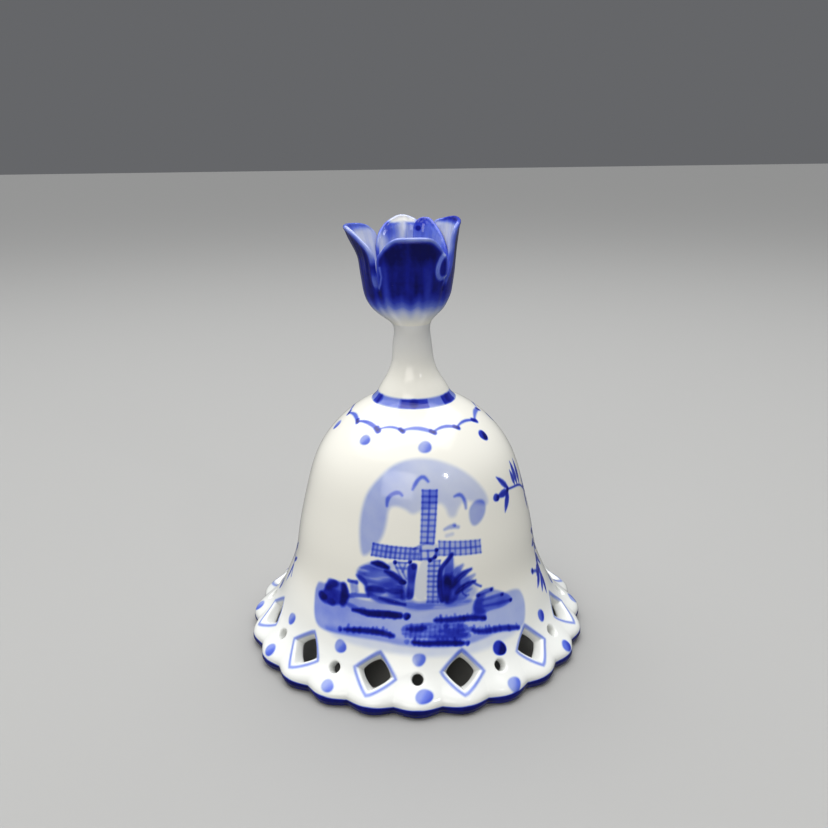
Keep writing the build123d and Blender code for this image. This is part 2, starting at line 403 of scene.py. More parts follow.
class ShellMesh:
    """The pierced and scalloped bell as one closed mesh of four-cornered faces."""

    def __init__(self, wall):
        self.wall = wall
        self.azimuths = column_azimuths()
        self.columns = len(self.azimuths)
        self.lay_rows()
        self.lay_grid()
        for index in range(PIERCINGS):
            self.pierce(index * PIERCING_STEP, PIERCING_KINDS["hole"])
            turn = (index + 0.5) * PIERCING_STEP + DIAMOND_SHIFTS.get(index, 0.0)
            self.pierce(turn, PIERCING_KINDS["diamond"])

    def lay_rows(self):
        """Chooses the rows of the grid, once round the section of the wall."""
        wall = self.wall
        length = wall.outer_along[-1]
        self.outer_rows = np.linspace(0, length, int(length / ROW_STEP) + 1)
        low = wall.along_at(DIAMOND_HEIGHT) - BAND_REACH
        high = wall.along_at(DIAMOND_HEIGHT) + BAND_REACH
        self.band = np.flatnonzero((self.outer_rows >= low) & (self.outer_rows <= high))
        facing = wall.inner_facing(self.outer_rows[self.band])
        below = np.linspace(0, facing[0], ROWS_BELOW_BAND + 1)[:-1]
        above = np.linspace(facing[-1], wall.inner_along[-1], ROWS_ABOVE_BAND + 1)[1:]
        self.inner_rows = np.concatenate([below, facing, above])
        self.inner_band = len(below)

    def lay_grid(self):
        """Places the vertices of the grid; each row keeps its place along the outer face."""
        wall = self.wall
        azimuth = self.azimuths[None, :]
        outer = wall.outer_point(azimuth, self.outer_rows[:, None])
        lid = [self.level_row(radius, CROWN_HEIGHT) for radius in CROWN_RINGS]
        lid += [self.level_row(radius, CEILING) for radius in CEILING_RINGS]
        inner = wall.inner_point(azimuth, self.inner_rows[::-1, None])
        foot = [self.level_row(radius, height) for radius, height in FOOT_SEAT]
        for radius, height in FOOT_EDGE:
            foot.append(around(radius - notch(self.azimuths, 0), self.azimuths, height))
        rows = [*outer, *lid, *inner, *foot]
        count = len(rows)
        self.inner_start = len(outer) + len(lid)
        self.points = [np.concatenate(rows)]
        self.total = count * self.columns
        self.quads = grid_quads(count, self.columns, True, True)
        self.keep = np.ones(len(self.quads), bool)
        self.extra = []
        place = np.full((count, self.columns), -1.0)
        place[: len(outer)] = self.outer_rows[:, None]
        place[-len(FOOT_EDGE):] = 0.0
        self.place = [place.ravel()]
        self.turn = [np.tile(self.azimuths, count)]

    def level_row(self, radius, height):
        return around(np.full(self.columns, float(radius)), self.azimuths, height)

    def inner_numbers(self, band_rows):
        """Grid rows of the inner face that lie behind rows of the band."""
        return self.inner_start + len(self.inner_rows) - 1 - (self.inner_band + band_rows)

    def window(self, azimuth, kind):
        """Columns and band rows of the patch that a piercing takes the place of, and its middle."""
        offset = wrapped(self.azimuths - azimuth)
        columns = np.flatnonzero(np.abs(offset) <= kind["half_width"] + 0.2)
        columns = columns[np.argsort(offset[columns])]
        middle = self.wall.along_at(kind["height"])
        rows = np.flatnonzero(np.abs(self.outer_rows[self.band] - middle) <= kind["half_rise"])
        return columns, rows, middle

    def add_ring(self, points, place, azimuth):
        """Adds one closed ring of vertices and returns their numbers."""
        numbers = np.arange(len(points)) + self.total
        self.total += len(points)
        self.points.append(points)
        self.place.append(np.broadcast_to(place, len(points)).astype(float))
        self.turn.append(azimuth)
        return numbers

    def pierce(self, centre, kind):
        """Replaces a patch of both faces by rings that run through the wall."""
        wall = self.wall
        columns, rows, middle = self.window(centre, kind)
        row, column = patch_boundary(rows, columns)
        outer_row = self.band[row]
        self.remove_faces(self.band[rows[:-1]], columns[:-1])
        self.remove_faces(self.inner_numbers(rows[1:]), columns[:-1])
        inner_middle = wall.inner_facing(middle)
        along = self.outer_rows[outer_row]
        offset = wrapped(self.azimuths[column] - centre)
        x = np.radians(offset) * wall.outer_at(along)[0]
        y = along - middle
        angle = np.arctan2(y, x)

        def outer_ring(grow, blend=0.0):
            """Azimuth and distance along the outer face of a ring round the opening."""
            size = kind["outer"] + kind["growth"] * grow
            reach = opening_edge(angle, size, kind["corner"])
            ring_x = (1 - blend) * reach * np.cos(angle) + blend * x
            ring_y = (1 - blend) * reach * np.sin(angle) + blend * y
            place = middle + ring_y
            return centre + np.degrees(ring_x / wall.outer_at(place)[0]), place

        def inner_ring(grow):
            """Azimuth and distance along the inner face of a ring round the opening."""
            size = kind["inner"] + kind["growth"] * grow
            reach = opening_edge(angle, size, kind["inner_corner"])
            place = inner_middle + reach * np.sin(angle)
            return centre + np.degrees(reach * np.cos(angle) / wall.inner_at(place)[0]), place

        rings = [outer_row * self.columns + column]
        widest = kind["rings"][0] if kind["rings"] else kind["bevel"]
        blends = np.linspace(1, 0, kind["blends"] + 1, endpoint=False)[1:]
        for blend in blends:
            turn, place = outer_ring(widest, blend)
            rings.append(self.add_ring(wall.outer_point(turn, place), place, turn))
        for grow in (*kind["rings"], kind["bevel"]):
            turn, place = outer_ring(grow)
            rings.append(self.add_ring(wall.outer_point(turn, place), place, turn))
        edge_turn, edge_place = outer_ring(0.0)
        edge = wall.outer_point(edge_turn, edge_place)
        inside_turn, inside_place = inner_ring(0.0)
        inside = wall.inner_point(inside_turn, inside_place)
        through = inside - edge
        thickness = np.linalg.norm(through, axis=1, keepdims=True)
        through /= thickness
        bevel = kind["bevel"]
        for reach, depth in quarter_round(bevel, OUTER_SLANTS):
            turn, place = outer_ring(reach)
            ring = wall.outer_point(turn, place) + depth * through
            rings.append(self.add_ring(ring, place, turn))
        for share in DEPTHS_BETWEEN_BEVELS:
            depth = bevel + share * (thickness - bevel - INNER_BEVEL)
            rings.append(self.add_ring(edge + depth * through, -1.0, edge_turn))
        for reach, depth in quarter_round(INNER_BEVEL, INNER_SLANTS):
            turn, place = inner_ring(reach)
            ring = wall.inner_point(turn, place) - depth * through
            rings.append(self.add_ring(ring, -1.0, turn))
        rings.append(self.inner_numbers(row) * self.columns + column)
        self.join(rings)

    def remove_faces(self, rows, columns):
        for row in rows:
            self.keep[row * self.columns + columns] = False

    def join(self, rings):
        """Faces between each ring and the next."""
        for here, there in zip(rings[:-1], rings[1:]):
            quads = [here, np.roll(here, -1), np.roll(there, -1), there]
            self.extra.append(np.stack(quads, axis=1))

    def arrays(self):
        """Points, faces, azimuth and distance along the outer face (-1 off that face)."""
        points = np.concatenate(self.points)
        quads = np.concatenate([self.quads[self.keep], *self.extra])
        return points, quads, np.concatenate(self.turn), np.concatenate(self.place)


# ---- painting -----------------------------------------------------------------------------
def corners_cut(outline):
    """A closed outline with its corners rounded off."""
    for _ in range(2):
        following = np.roll(outline, -1, axis=0)
        pairs = [0.75 * outline + 0.25 * following, 0.25 * outline + 0.75 * following]
        outline = np.stack(pairs, axis=1).reshape(-1, 2)
    return outline


# Heights at which distances along the wall are read back.
HEIGHT_SAMPLES = np.linspace(0, 61, 1221)
# Radii of the wall at the diamonds, at the water's edge and at the flowers on the back. They
# turn distances in mm round the wall into degrees.
DIAMOND_RADIUS = 36.8
WATER_RADIUS = 34.0
FLOWER_RADIUS = 27.0
# Rise of the teeth on a toothed stroke, and the gap from one to the next.
TOOTH_RISE = 0.9
TOOTH_PITCH = 1.1
# Width of the lines on the sails of the mill.
SAIL_LINE = 0.44


class Brush:
    """Lays cobalt on a wall, as a density from 0 to 1 at each vertex.

    Places are (azimuth in degrees, height in mm). Widths and edges are in mm on the wall."""

    def __init__(self, azimuth, along, radius, along_at, seed):
        self.azimuth = wrapped(azimuth)
        self.along = along
        self.scale = np.radians(radius)
        self.along_at = along_at
        self.density = np.zeros(len(azimuth))
        self.random = np.random.default_rng(seed)

    def height_past(self, height, distance):
        """The height of a place that lies a distance further up along the wall."""
        further = self.along_at(height) + distance
        return float(np.interp(further, self.along_at(HEIGHT_SAMPLES), HEIGHT_SAMPLES))

    def canvas(self, points, margin):
        """Vertices near the points, and a function that gives their offsets from a place."""
        points = np.asarray(points, float)
        places = np.stack([points[:, 0], self.along_at(points[:, 1])], axis=1)
        middle = (places[:, 0].min() + places[:, 0].max()) / 2
        spread = (places[:, 0].max() - places[:, 0].min()) / 2
        turn = wrapped(self.azimuth - middle)
        near = np.abs(turn) * self.scale < spread * self.scale + margin
        near &= self.along > places[:, 1].min() - margin
        near &= self.along < places[:, 1].max() + margin
        near = np.flatnonzero(near)
        turn = turn[near]
        scale = self.scale[near]
        along = self.along[near]

        def offsets(place):
            return (turn - (place[0] - middle)) * scale, along - place[1]

        return near, places, offsets

    def lay(self, near, amount):
        """Adds cobalt over what is there already."""
        amount = np.clip(amount, 0, 1)
        self.density[near] = 1 - (1 - self.density[near]) * (1 - amount)

    def lift(self, near, amount):
        """Wipes cobalt away."""
        self.density[near] *= 1 - np.clip(amount, 0, 1)

    def stroke(self, points, width, density, edge=0.16, dry=0.0, smooth=True):
        """A brush stroke through the points; the width may be a list, spread evenly along it."""
        widths = np.atleast_1d(np.asarray(width, float))
        margin = widths.max() / 2 + edge + 0.3
        near, places, offsets = self.canvas(points, margin + (1.0 if smooth else 0.0))
        if len(near) == 0:
            return
        if smooth and len(places) > 2:
            scale = np.median(self.scale[near])
            line, _ = line_through(places * [scale, 1], 0.45)
            places = line / [scale, 1]
        distance = np.full(len(near), 1e9)
        progress = np.zeros(len(near))
        side = np.zeros(len(near))
        travelled = 0.0
        for x, y, run_x, run_y in runs_between(places[:-1], places[1:], offsets):
            length = np.sqrt(run_x**2 + run_y**2) + 1e-9
            share, gap = nearest_share(x, y, run_x, run_y, length**2)
            closer = gap < distance
            distance = np.where(closer, gap, distance)
            progress = np.where(closer, travelled + share * length, progress)
            side = np.where(closer, (x * run_y - y * run_x) / length, side)
            travelled += np.median(length)
        half = np.interp(progress / max(travelled, 1e-6), np.linspace(0, 1, len(widths)), widths) / 2
        amount = density * (1 - smoothstep(half - edge, half + edge, distance))
        if dry:
            bristles = ripple(progress * 0.35, side * 3.2, 2.2, self.random.integers(1 << 30))
            amount *= 1 - dry * smoothstep(-0.3, 1.2, bristles)
        self.lay(near, amount)

    def patch(self, outline, density, edge=0.3, uneven=0.15, streak=None, wipe=False,
              shade=None, sharp=False):
        """A wash inside an outline. Streak is (along x, along y), the size of the marks that a
        wide brush leaves; shade(x, y) varies the density."""
        outline = np.asarray(outline, float)
        if not sharp:
            outline = corners_cut(outline)
        near, places, offsets = self.canvas(outline, edge + 0.2)
        if len(near) == 0:
            return
        inside = np.zeros(len(near), bool)
        distance = np.full(len(near), 1e9)
        for x, y, run_x, run_y in runs_between(places, np.roll(places, -1, axis=0), offsets):
            square = run_x**2 + run_y**2 + 1e-12
            distance = np.minimum(distance, nearest_share(x, y, run_x, run_y, square)[1])
            crossing = (y > 0) != (y - run_y > 0)
            with np.errstate(divide="ignore", invalid="ignore"):
                at = x - y * run_x / np.where(run_y == 0, 1e-12, run_y)
            inside ^= crossing & (at > 0)
        signed = np.where(inside, distance, -distance)
        amount = density * smoothstep(-edge, edge, signed)
        x, y = offsets(places.mean(axis=0))
        amount *= 1 + uneven * ripple(x, y, 5.0, self.random.integers(1 << 30))
        if streak:
            marks = ripple(x / streak[0], y / streak[1], 1.0, self.random.integers(1 << 30))
            amount *= 1 - 0.4 * smoothstep(-0.2, 1.4, marks)
        if shade:
            amount *= shade(x, y)
        if wipe:
            self.lift(near, amount)
        else:
            self.lay(near, amount)

    def dot(self, azimuth, height, diameter, density, aspect=1.0, edge=0.2):
        """A round dab, a little uneven, with a pool of thicker cobalt on one side."""
        near, places, offsets = self.canvas([(azimuth, height)], diameter)
        x, y = offsets(places[0])
        angle = np.arctan2(y, x)
        wobble = self.random.uniform(0, 2 * math.pi, 2)
        shape = 1 + 0.05 * np.sin(2 * angle + wobble[0]) + 0.04 * np.sin(3 * angle + wobble[1])
        radius = np.hypot(x, y / aspect)
        reach = diameter / 2 * shape
        amount = density * (1 - smoothstep(reach - edge, reach + edge, radius))
        pool = smoothstep(-0.6, 0.9, (x - 0.6 * y) / diameter * 2)
        amount *= 0.8 + 0.4 * pool
        self.lay(near, amount)

    def leaf(self, root, tip, width, density, dry=0.15, edge=0.32):
        """A pointed dab from root to tip."""
        middle = ((root[0] + tip[0]) / 2, (root[1] + tip[1]) / 2)
        widths = [0.3 * width, 0.95 * width, width, 0.7 * width, 0.15 * width]
        self.stroke([root, middle, tip], widths, density, edge=edge, dry=dry)

    def lattice(self, corners, rails, bars, fill, line):
        """A sail over a light fill: rails run from its top edge down, bars from left to right."""
        top_left, top_right, low_right, low_left = np.asarray(corners, float)
        self.patch(corners, fill + 0.05, edge=0.25, uneven=0.1, sharp=True)
        for count, starts, ends in (
            (rails, (top_left, top_right), (low_left, low_right)),
            (bars, (top_left, low_left), (top_right, low_right)),
        ):
            for share in np.linspace(0, 1, count):
                start = (1 - share) * starts[0] + share * starts[1]
                end = (1 - share) * ends[0] + share * ends[1]
                density = line * self.random.uniform(0.62, 1.1)
                self.stroke([start, end], SAIL_LINE, density, edge=0.26, smooth=False)

    def comb(self, points, density):
        """A wet stroke whose upper edge breaks into upright teeth."""
        self.stroke(points, [0.7, 1.15, 1.2, 1.25, 0.9], density, edge=0.4)
        points = np.asarray(points, float)
        reach = (points[-1] - points[0]) * [math.radians(WATER_RADIUS), 1.0]
        count = int(np.hypot(*reach) / TOOTH_PITCH)
        shares = np.linspace(0, 1, len(points))
        for share in (np.arange(count) + self.random.uniform(0.2, 0.8, count)) / count:
            place = read_line(points, shares, share)
            up = 0.35 + TOOTH_RISE * self.random.uniform(0.1, 0.8)
            line = [(place[0], place[1] - 0.3), (place[0], place[1] + up)]
            dark = density * self.random.uniform(0.3, 0.75)
            self.stroke(line, [0.8, 0.9, 0.5], dark, edge=0.32, smooth=False)


# The line round a diamond: how far it lies from the middle, and its corners and steps.
OUTLINE_REACH = 4.95
OUTLINE_CORNER = 1.12
OUTLINE_STEPS = 40
# Dots on the painted front, by piercing: (shift in degrees, height, size, density).
UPPER_DOTS = {0: (0.6, 10.3, 2.9, 0.44), 1: (2.0, 9.7, 3.4, 0.97), 2: (-0.8, 10.6, 2.8, 0.66),
              11: (-0.1, 10.8, 3.0, 0.5)}
LOWER_DOTS = {0: (2.0, 4.7, 3.8, 0.5), 1: (1.6, 3.9, 3.7, 0.44), 2: (0.0, 4.0, 3.2, 0.62),
              11: (0.5, 4.4, 3.2, 0.42)}


def paint_foot(brush):
    """Foot band, the two rows of dots and the outlines of the diamonds."""
    for lobe in range(LOBES):
        start = lobe * LOBE_STEP
        turns = start + np.linspace(-0.5, 0.5, 9) * LOBE_STEP
        heights = 0.95 + 0.25 * np.cos(np.linspace(-math.pi, math.pi, 9))
        brush.stroke(list(zip(turns, heights)), [1.65, 1.9, 2.2, 1.9, 1.65], 0.97, edge=0.2)
    for index in range(PIERCINGS):
        turn = wrapped(index * PIERCING_STEP)
        plain = (0.4, 10.5, 2.9, 0.5 + 0.08 * math.sin(5.0 * index))
        shift, height, size, dark = UPPER_DOTS.get(index, plain)
        brush.dot(turn + shift, height, size, dark, edge=0.28)
        plain = (1.0, 4.3, 3.4, 0.48 + 0.06 * math.cos(3.0 * index))
        shift, height, size, dark = LOWER_DOTS.get(index, plain)
        brush.dot(turn + shift, height, size, dark, aspect=0.9, edge=0.28)
        paint_outline(brush, turn + PIERCING_STEP / 2 + DIAMOND_SHIFTS.get(index, 0.0))


def paint_outline(brush, middle):
    """The soft line round a diamond, with its corners a little rounded."""
    places = []
    for step in range(OUTLINE_STEPS):
        angle = 2 * math.pi * step / OUTLINE_STEPS
        reach = opening_edge(angle, OUTLINE_REACH, OUTLINE_CORNER)
        height = brush.height_past(DIAMOND_HEIGHT - 0.2, reach * math.sin(angle))
        places.append((middle + math.degrees(reach * math.cos(angle) / DIAMOND_RADIUS), height))
    dark = brush.random.uniform(0.38, 0.46)
    brush.stroke(places + places[:1], [0.7, 0.8, 0.65, 0.8, 0.7], dark, edge=0.34, smooth=False)


SHOULDER_SCALLOPS = 14
SHOULDER_DOTS = 8
# Dots under the scallops on the painted front: (azimuth, height, size, density).
FRONT_DOTS = {2: (57.0, 53.9, 2.7, 0.97), 1: (7.2, 54.2, 3.0, 0.44), 0: (-37.7, 54.6, 2.7, 0.48)}
# Cusps of the scalloped line on the painted front: (azimuth, height, size of the wet dab).
FRONT_CUSPS = [(-84.4, 56.9, 1.0), (-57.8, 57.0, 1.0), (-31.5, 56.7, 1.35), (-10.3, 57.0, 0.95),
               (15.3, 56.6, 1.0), (37.4, 56.7, 1.05), (61.6, 56.6, 1.3), (88.0, 57.1, 1.1)]


def paint_shoulder(brush):
    """The scalloped line below the crown and the dots that hang under it."""
    cusps = list(FRONT_CUSPS)
    first = cusps[-1][0]
    gap = (360.0 + cusps[0][0] - first) / (SHOULDER_SCALLOPS - len(cusps) + 1)
    while len(cusps) < SHOULDER_SCALLOPS:
        cusps.append((cusps[-1][0] + gap, 56.9, 1.1))
    ends = cusps[1:] + [(cusps[0][0] + 360.0, *cusps[0][1:])]
    for index, (here, there) in enumerate(zip(cusps, ends)):
        share = np.linspace(0, 1, 7)
        turns = here[0] + share * (there[0] - here[0])
        level = here[1] + share * (there[1] - here[1])
        heights = level + 0.62 * np.sin(np.pi * share) ** 0.8
        thick = 0.75 + 0.2 * math.sin(2.3 * index + 0.4)
        widths = [0.8 * thick, 0.8 * thick, 1.1 * thick, 1.25 * thick, 1.2 * thick, 0.9 * thick]
        brush.stroke(list(zip(turns, heights)), widths, 0.56 + 0.08 * math.sin(1.7 * index), edge=0.26)
        brush.stroke([(here[0] - 1.5, here[1] + 0.25), (here[0] + 1.2, here[1] - 0.15)], here[2], 0.8,
                     edge=0.32)
    for index in range(SHOULDER_DOTS):
        plain = (7.2 + (index - 1) * 360.0 / SHOULDER_DOTS, 54.3, 2.7, 0.5)
        azimuth, height, size, dark = FRONT_DOTS.get(index, plain)
        brush.dot(azimuth, height, size, dark, edge=0.28)


def paint_sky(brush):
    """The arch of pale wash behind the mill, with its birds."""
    outer = [(-25.5, 31.3), (-27.5, 36), (-27.8, 40), (-26.3, 44.4), (-22, 47.5), (-14.8, 50.6),
             (-6, 52.0), (3, 52.4), (15, 51.8), (26.5, 49.7), (34, 47), (39.5, 43.5), (39.8, 40.4)]
    inner = [(31, 42.2), (25.5, 43.2), (21.5, 41.6), (20, 40.0), (16.4, 40.0), (15.0, 42.4),
             (12, 43.5), (2, 41.8), (-1.5, 41.2), (-5, 42.4), (-10, 43.0), (-13.4, 42.3),
             (-14, 39), (-15.5, 36), (-19.5, 33.3), (-22.5, 31.6)]
    brush.patch(outer + inner, 0.2, edge=0.7, uneven=0.04,
                shade=lambda x, y: 1.0 + 0.55 * smoothstep(2, -10, x))
    brush.patch([(27.4, 41.2), (31.5, 42.6), (36.5, 42.4), (38.0, 41.0), (36.0, 38.8), (31.5, 37.2),
                 (28.0, 37.2), (26.8, 39.0)], 0.34, edge=0.45, uneven=0.06)
    for bird in (
        [(-14.2, 42.8), (-13.8, 44.4), (-11.4, 45.4), (-7.8, 45.6), (-6.7, 45.2)],
        [(-1.3, 46.4), (1.1, 48.0), (4.5, 48.8), (7.1, 47.9)],
        [(20.4, 44.3), (23.6, 44.4), (25.7, 42.8), (25.8, 41.4)],
    ):
        brush.stroke(bird, [0.5, 0.9, 0.8, 0.9, 0.6], 0.42, edge=0.36)
    brush.stroke([(13.8, 37.6), (17.0, 38.0), (20.6, 37.7)], [0.6, 1.1, 0.8], 0.32, edge=0.35)
    brush.dot(18.7, 38.3, 0.9, 0.35, edge=0.3)
    brush.stroke([(14.6, 36.2), (17.4, 36.4)], 0.8, 0.17, edge=0.4)


def paint_mill(brush):
    """The mill: tower, gallery, four lattice sails and the hub they turn on."""
    tower = [(5.4, 31.4), (2.7, 31.3), (1.0, 29.2), (-0.1, 27.0), (-0.7, 24.7), (-0.7, 22.9),
             (1.5, 22.6), (4.5, 22.8), (5.0, 26.9)]
    brush.patch(tower, 0.12, edge=0.3, uneven=0.05)
    brush.patch([(-3.8, 30.6), (0.4, 30.6), (0.6, 29.6), (-0.4, 27.4), (-0.9, 24.2), (-1.6, 22.6),
                 (-4.4, 22.4), (-4.0, 24.7), (-3.8, 28.1)], 0.76, edge=0.35, uneven=0.08)
    brush.patch([(-2.2, 30.8), (0.5, 30.7), (0.2, 29.3), (-2.0, 29.2)], 0.8, edge=0.3)
    brush.patch([(-14.4, 30.8), (-2.6, 30.8), (-3.6, 26.6), (-5.2, 26.4), (-9.0, 28.8)], 0.2, edge=0.35)
    brush.stroke([(-9.6, 30.9), (-6.5, 30.8), (-2.9, 30.8)], 0.5, 0.5, edge=0.25)
    for place in ((-9.4, 30.8), (-2.7, 31.0)):
        brush.dot(*place, 0.9, 0.92)
    for brace in ([(-9.4, 30.4), (-6.0, 26.8)], [(-7.6, 30.6), (-4.4, 27.2)], [(-4.6, 30.6), (-5.8, 28.8)],
                  [(-8.6, 29.6), (-4.4, 29.5)]):
        brush.stroke(brace, 0.5, 0.36, edge=0.28)
    frames = (
        ([(3.9, 46.2), (11.4, 46.0), (8.3, 34.9), (2.3, 35.1)], 3, 10, 0.28),
        ([(-19.8, 34.4), (2.0, 33.9), (1.4, 31.5), (-20.4, 31.8)], 11, 3, 0.30),
        ([(10.8, 35.2), (31.2, 33.8), (30.9, 31.0), (10.2, 32.2)], 9, 3, 0.24),
        ([(5.6, 31.2), (10.7, 31.0), (9.1, 21.7), (4.6, 21.9)], 3, 9, 0.24),
    )
    for corners, rails, bars, fill in frames:
        brush.lattice(corners, rails, bars, fill, 0.4)
    hub = [(1.4, 33.9), (2.6, 34.5), (4.6, 34.8), (7.8, 34.8), (10.4, 34.6), (10.2, 32.2), (9.0, 31.0),
           (2.4, 31.2), (1.4, 31.7)]
    brush.patch(hub, 0.6, edge=0.3, wipe=True)
    brush.patch(hub, 0.2, edge=0.3)
    for side in ([(-1.0, 33.8), (1.9, 34.5), (4.7, 34.9), (7.8, 34.7)], [(2.2, 33.4), (8.8, 33.3)],
                 [(2.2, 31.6), (8.4, 31.6)], [(2.3, 34.2), (2.3, 31.4)], [(5.4, 33.3), (5.5, 31.4)]):
        brush.stroke(side, 0.5, 0.42, edge=0.28)
    brush.stroke([(9.4, 33.4), (9.2, 32.6), (8.6, 31.9), (6.4, 31.3)], 0.7, 0.6, edge=0.28)
    for place in ((9.4, 33.4), (8.5, 31.9), (6.2, 31.2)):
        brush.dot(*place, 0.85, 0.85)


def paint_big_bush(brush):
    """The bush left of the mill: a washed body with a darker crown and dark under-edges."""
    body = [(-27.4, 27.0), (-26.5, 28.4), (-23.6, 29.4), (-20.5, 30.2), (-16.6, 30.3), (-12.0, 29.8),
            (-9.6, 28.4), (-6.6, 27.2), (-5.2, 26.2), (-5.4, 24.6), (-5.0, 22.4), (-8.0, 21.5),
            (-13.6, 21.3), (-19.4, 21.7), (-22.2, 22.8), (-23.3, 25.0), (-26.2, 25.8)]
    brush.patch(body, 0.67, edge=0.6, uneven=0.1, streak=(8.0, 1.6))
    brush.patch([(-22, 28.2), (-16, 28.8), (-11, 27.4), (-12, 26.2), (-18, 26.4), (-23, 27.0)], 0.1,
                edge=0.6, wipe=True)
    brush.patch([(-5.8, 25.4), (-1.8, 24.8), (-0.8, 21.6), (3.9, 21.7), (7.6, 21.4), (7.0, 20.2),
                 (-1.1, 19.9), (-6.8, 21.0)], 0.22, edge=0.6)
    brush.patch([(-23.0, 24.8), (-15, 25.4), (-13.5, 23.6), (-18.5, 22.6), (-22, 22.8)], 0.4, edge=0.6)
    brush.patch([(-6.2, 26.0), (-3.6, 26.4), (-3.4, 22.2), (-7.4, 22.2)], 0.42, edge=0.5)
    strokes = (
        ([(-19.8, 30.1), (-16.5, 30.1), (-12.8, 29.5)], 1.4, 0.98),
        ([(-13.6, 28.6), (-11.0, 28.2), (-8.0, 27.3), (-5.6, 26.4)], 1.3, 0.8),
        ([(-27.0, 26.6), (-24.6, 26.0), (-22.5, 25.2)], 1.2, 0.45),
        ([(-12.8, 24.3), (-9.5, 24.2), (-6.4, 24.3)], 1.1, 0.7),
        ([(-21.5, 24.0), (-18.7, 24.4), (-14.5, 24.2)], 1.5, 0.45),
        ([(-15.8, 22.4), (-10.0, 21.8), (-5.0, 21.4)], 0.9, 0.8),
    )
    for line, width, density in strokes:
        brush.stroke(line, [0.5 * width, 1.1 * width, 1.1 * width, 0.8 * width], density, edge=0.4)
    brush.dot(-5.9, 26.4, 1.6, 0.92, aspect=0.75, edge=0.3)
    brush.stroke([(-31.3, 21.3), (-27.0, 22.0), (-21.3, 22.4)], 1.0, 0.6, edge=0.35)
    for line in ([(-29.8, 24.6), (-28.8, 22.4)], [(-27.2, 24.9), (-26.4, 23.0)],
                 [(-28.8, 24.9), (-27.4, 22.6)]):
        brush.stroke(line, 0.8, 0.34, edge=0.35)
    brush.stroke([(-31.0, 24.9), (-27.0, 25.0)], [0.9, 0.7, 1.0], 0.6, edge=0.3)


def paint_small_bush(brush):
    """The round, nearly black bush at the left edge, with wet lobes round a lighter heart."""
    body = [(-44.0, 21.6), (-42.0, 23.4), (-38.0, 24.0), (-32.4, 23.9), (-31.3, 22.2), (-31.3, 20.1),
            (-34.4, 18.9), (-39.6, 18.1), (-43.8, 17.9), (-47.0, 18.6), (-47.0, 19.8), (-44.6, 20.4)]
    brush.patch(body, 0.72, edge=0.45, uneven=0.06)
    for azimuth, height, size, density, aspect in (
        (-39.8, 23.0, 3.4, 0.7, 0.6), (-44.6, 19.2, 3.2, 0.85, 0.55), (-42.2, 21.8, 2.2, 0.6, 0.9),
        (-39.0, 18.8, 2.6, 0.6, 0.6),
    ):
        brush.dot(azimuth, height, size, density, aspect, edge=0.55)
    brush.stroke([(-33.4, 23.4), (-32.6, 22.0), (-33.0, 19.6)], [1.6, 2.3, 2.4, 1.8], 0.88, edge=0.5)


def paint_reeds(brush):
    """The fan of leaves right of the mill, rising from one dark wet core in a pale haze."""
    brush.patch([(10.6, 24.5), (11.8, 28.6), (16.0, 30.4), (20.6, 27.8), (25.0, 25.4), (28.0, 22.6),
                 (25.0, 20.8), (15.4, 20.7), (11.0, 21.7)], 0.24, edge=0.9, uneven=0.1)
    brush.stroke([(16.4, 32.0), (13.9, 30.7), (11.3, 29.2), (10.4, 27.4), (10.2, 24.6), (10.8, 22.0)],
                 [0.9, 1.0, 1.2, 1.2, 1.2], 0.84, edge=0.32)
    brush.patch([(17.2, 32.2), (14.0, 31.2), (11.8, 28.2), (12.0, 26.4), (15.6, 26.6), (16.8, 28.6)],
                0.55, edge=0.4, uneven=0.08)
    brush.patch([(10.4, 27.2), (13.6, 28.0), (17.2, 27.0), (19.4, 25.6), (19.6, 23.4), (16.0, 21.0),
                 (12.4, 20.9), (10.4, 22.4)], 0.6, edge=0.5, uneven=0.08)
    brush.patch([(11.4, 26.4), (13.6, 27.4), (15.8, 26.2), (15.6, 23.8), (13.8, 21.2), (12.2, 21.2),
                 (11.2, 23.2)], 0.9, edge=0.55)
    for root, middle, tip, width, density in (
        ((15.6, 26.2), (18.0, 28.0), (21.0, 29.2), 1.8, 0.45),
        ((15.8, 24.8), (20.0, 26.9), (25.0, 27.9), 1.5, 0.84),
        ((16.8, 24.2), (21.4, 25.4), (26.4, 26.4), 1.6, 0.4),
        ((17.2, 23.2), (21.8, 24.4), (26.6, 25.0), 1.4, 0.84),
        ((16.2, 22.4), (20.4, 23.0), (24.4, 23.4), 1.3, 0.34),
        ((14.8, 21.8), (18.5, 21.8), (22.8, 22.2), 1.0, 0.45),
    ):
        brush.stroke([root, middle, tip], [0.6 * width, width, 0.95 * width, 0.4 * width], density,
                     edge=0.42, dry=0.12)
    brush.stroke([(25.4, 25.0), (27.4, 24.0), (29.2, 23.4)], 0.6, 0.6, edge=0.28)
    brush.stroke([(21.0, 24.6), (20.2, 22.9), (21.6, 22.2)], 0.45, 0.5, edge=0.25)


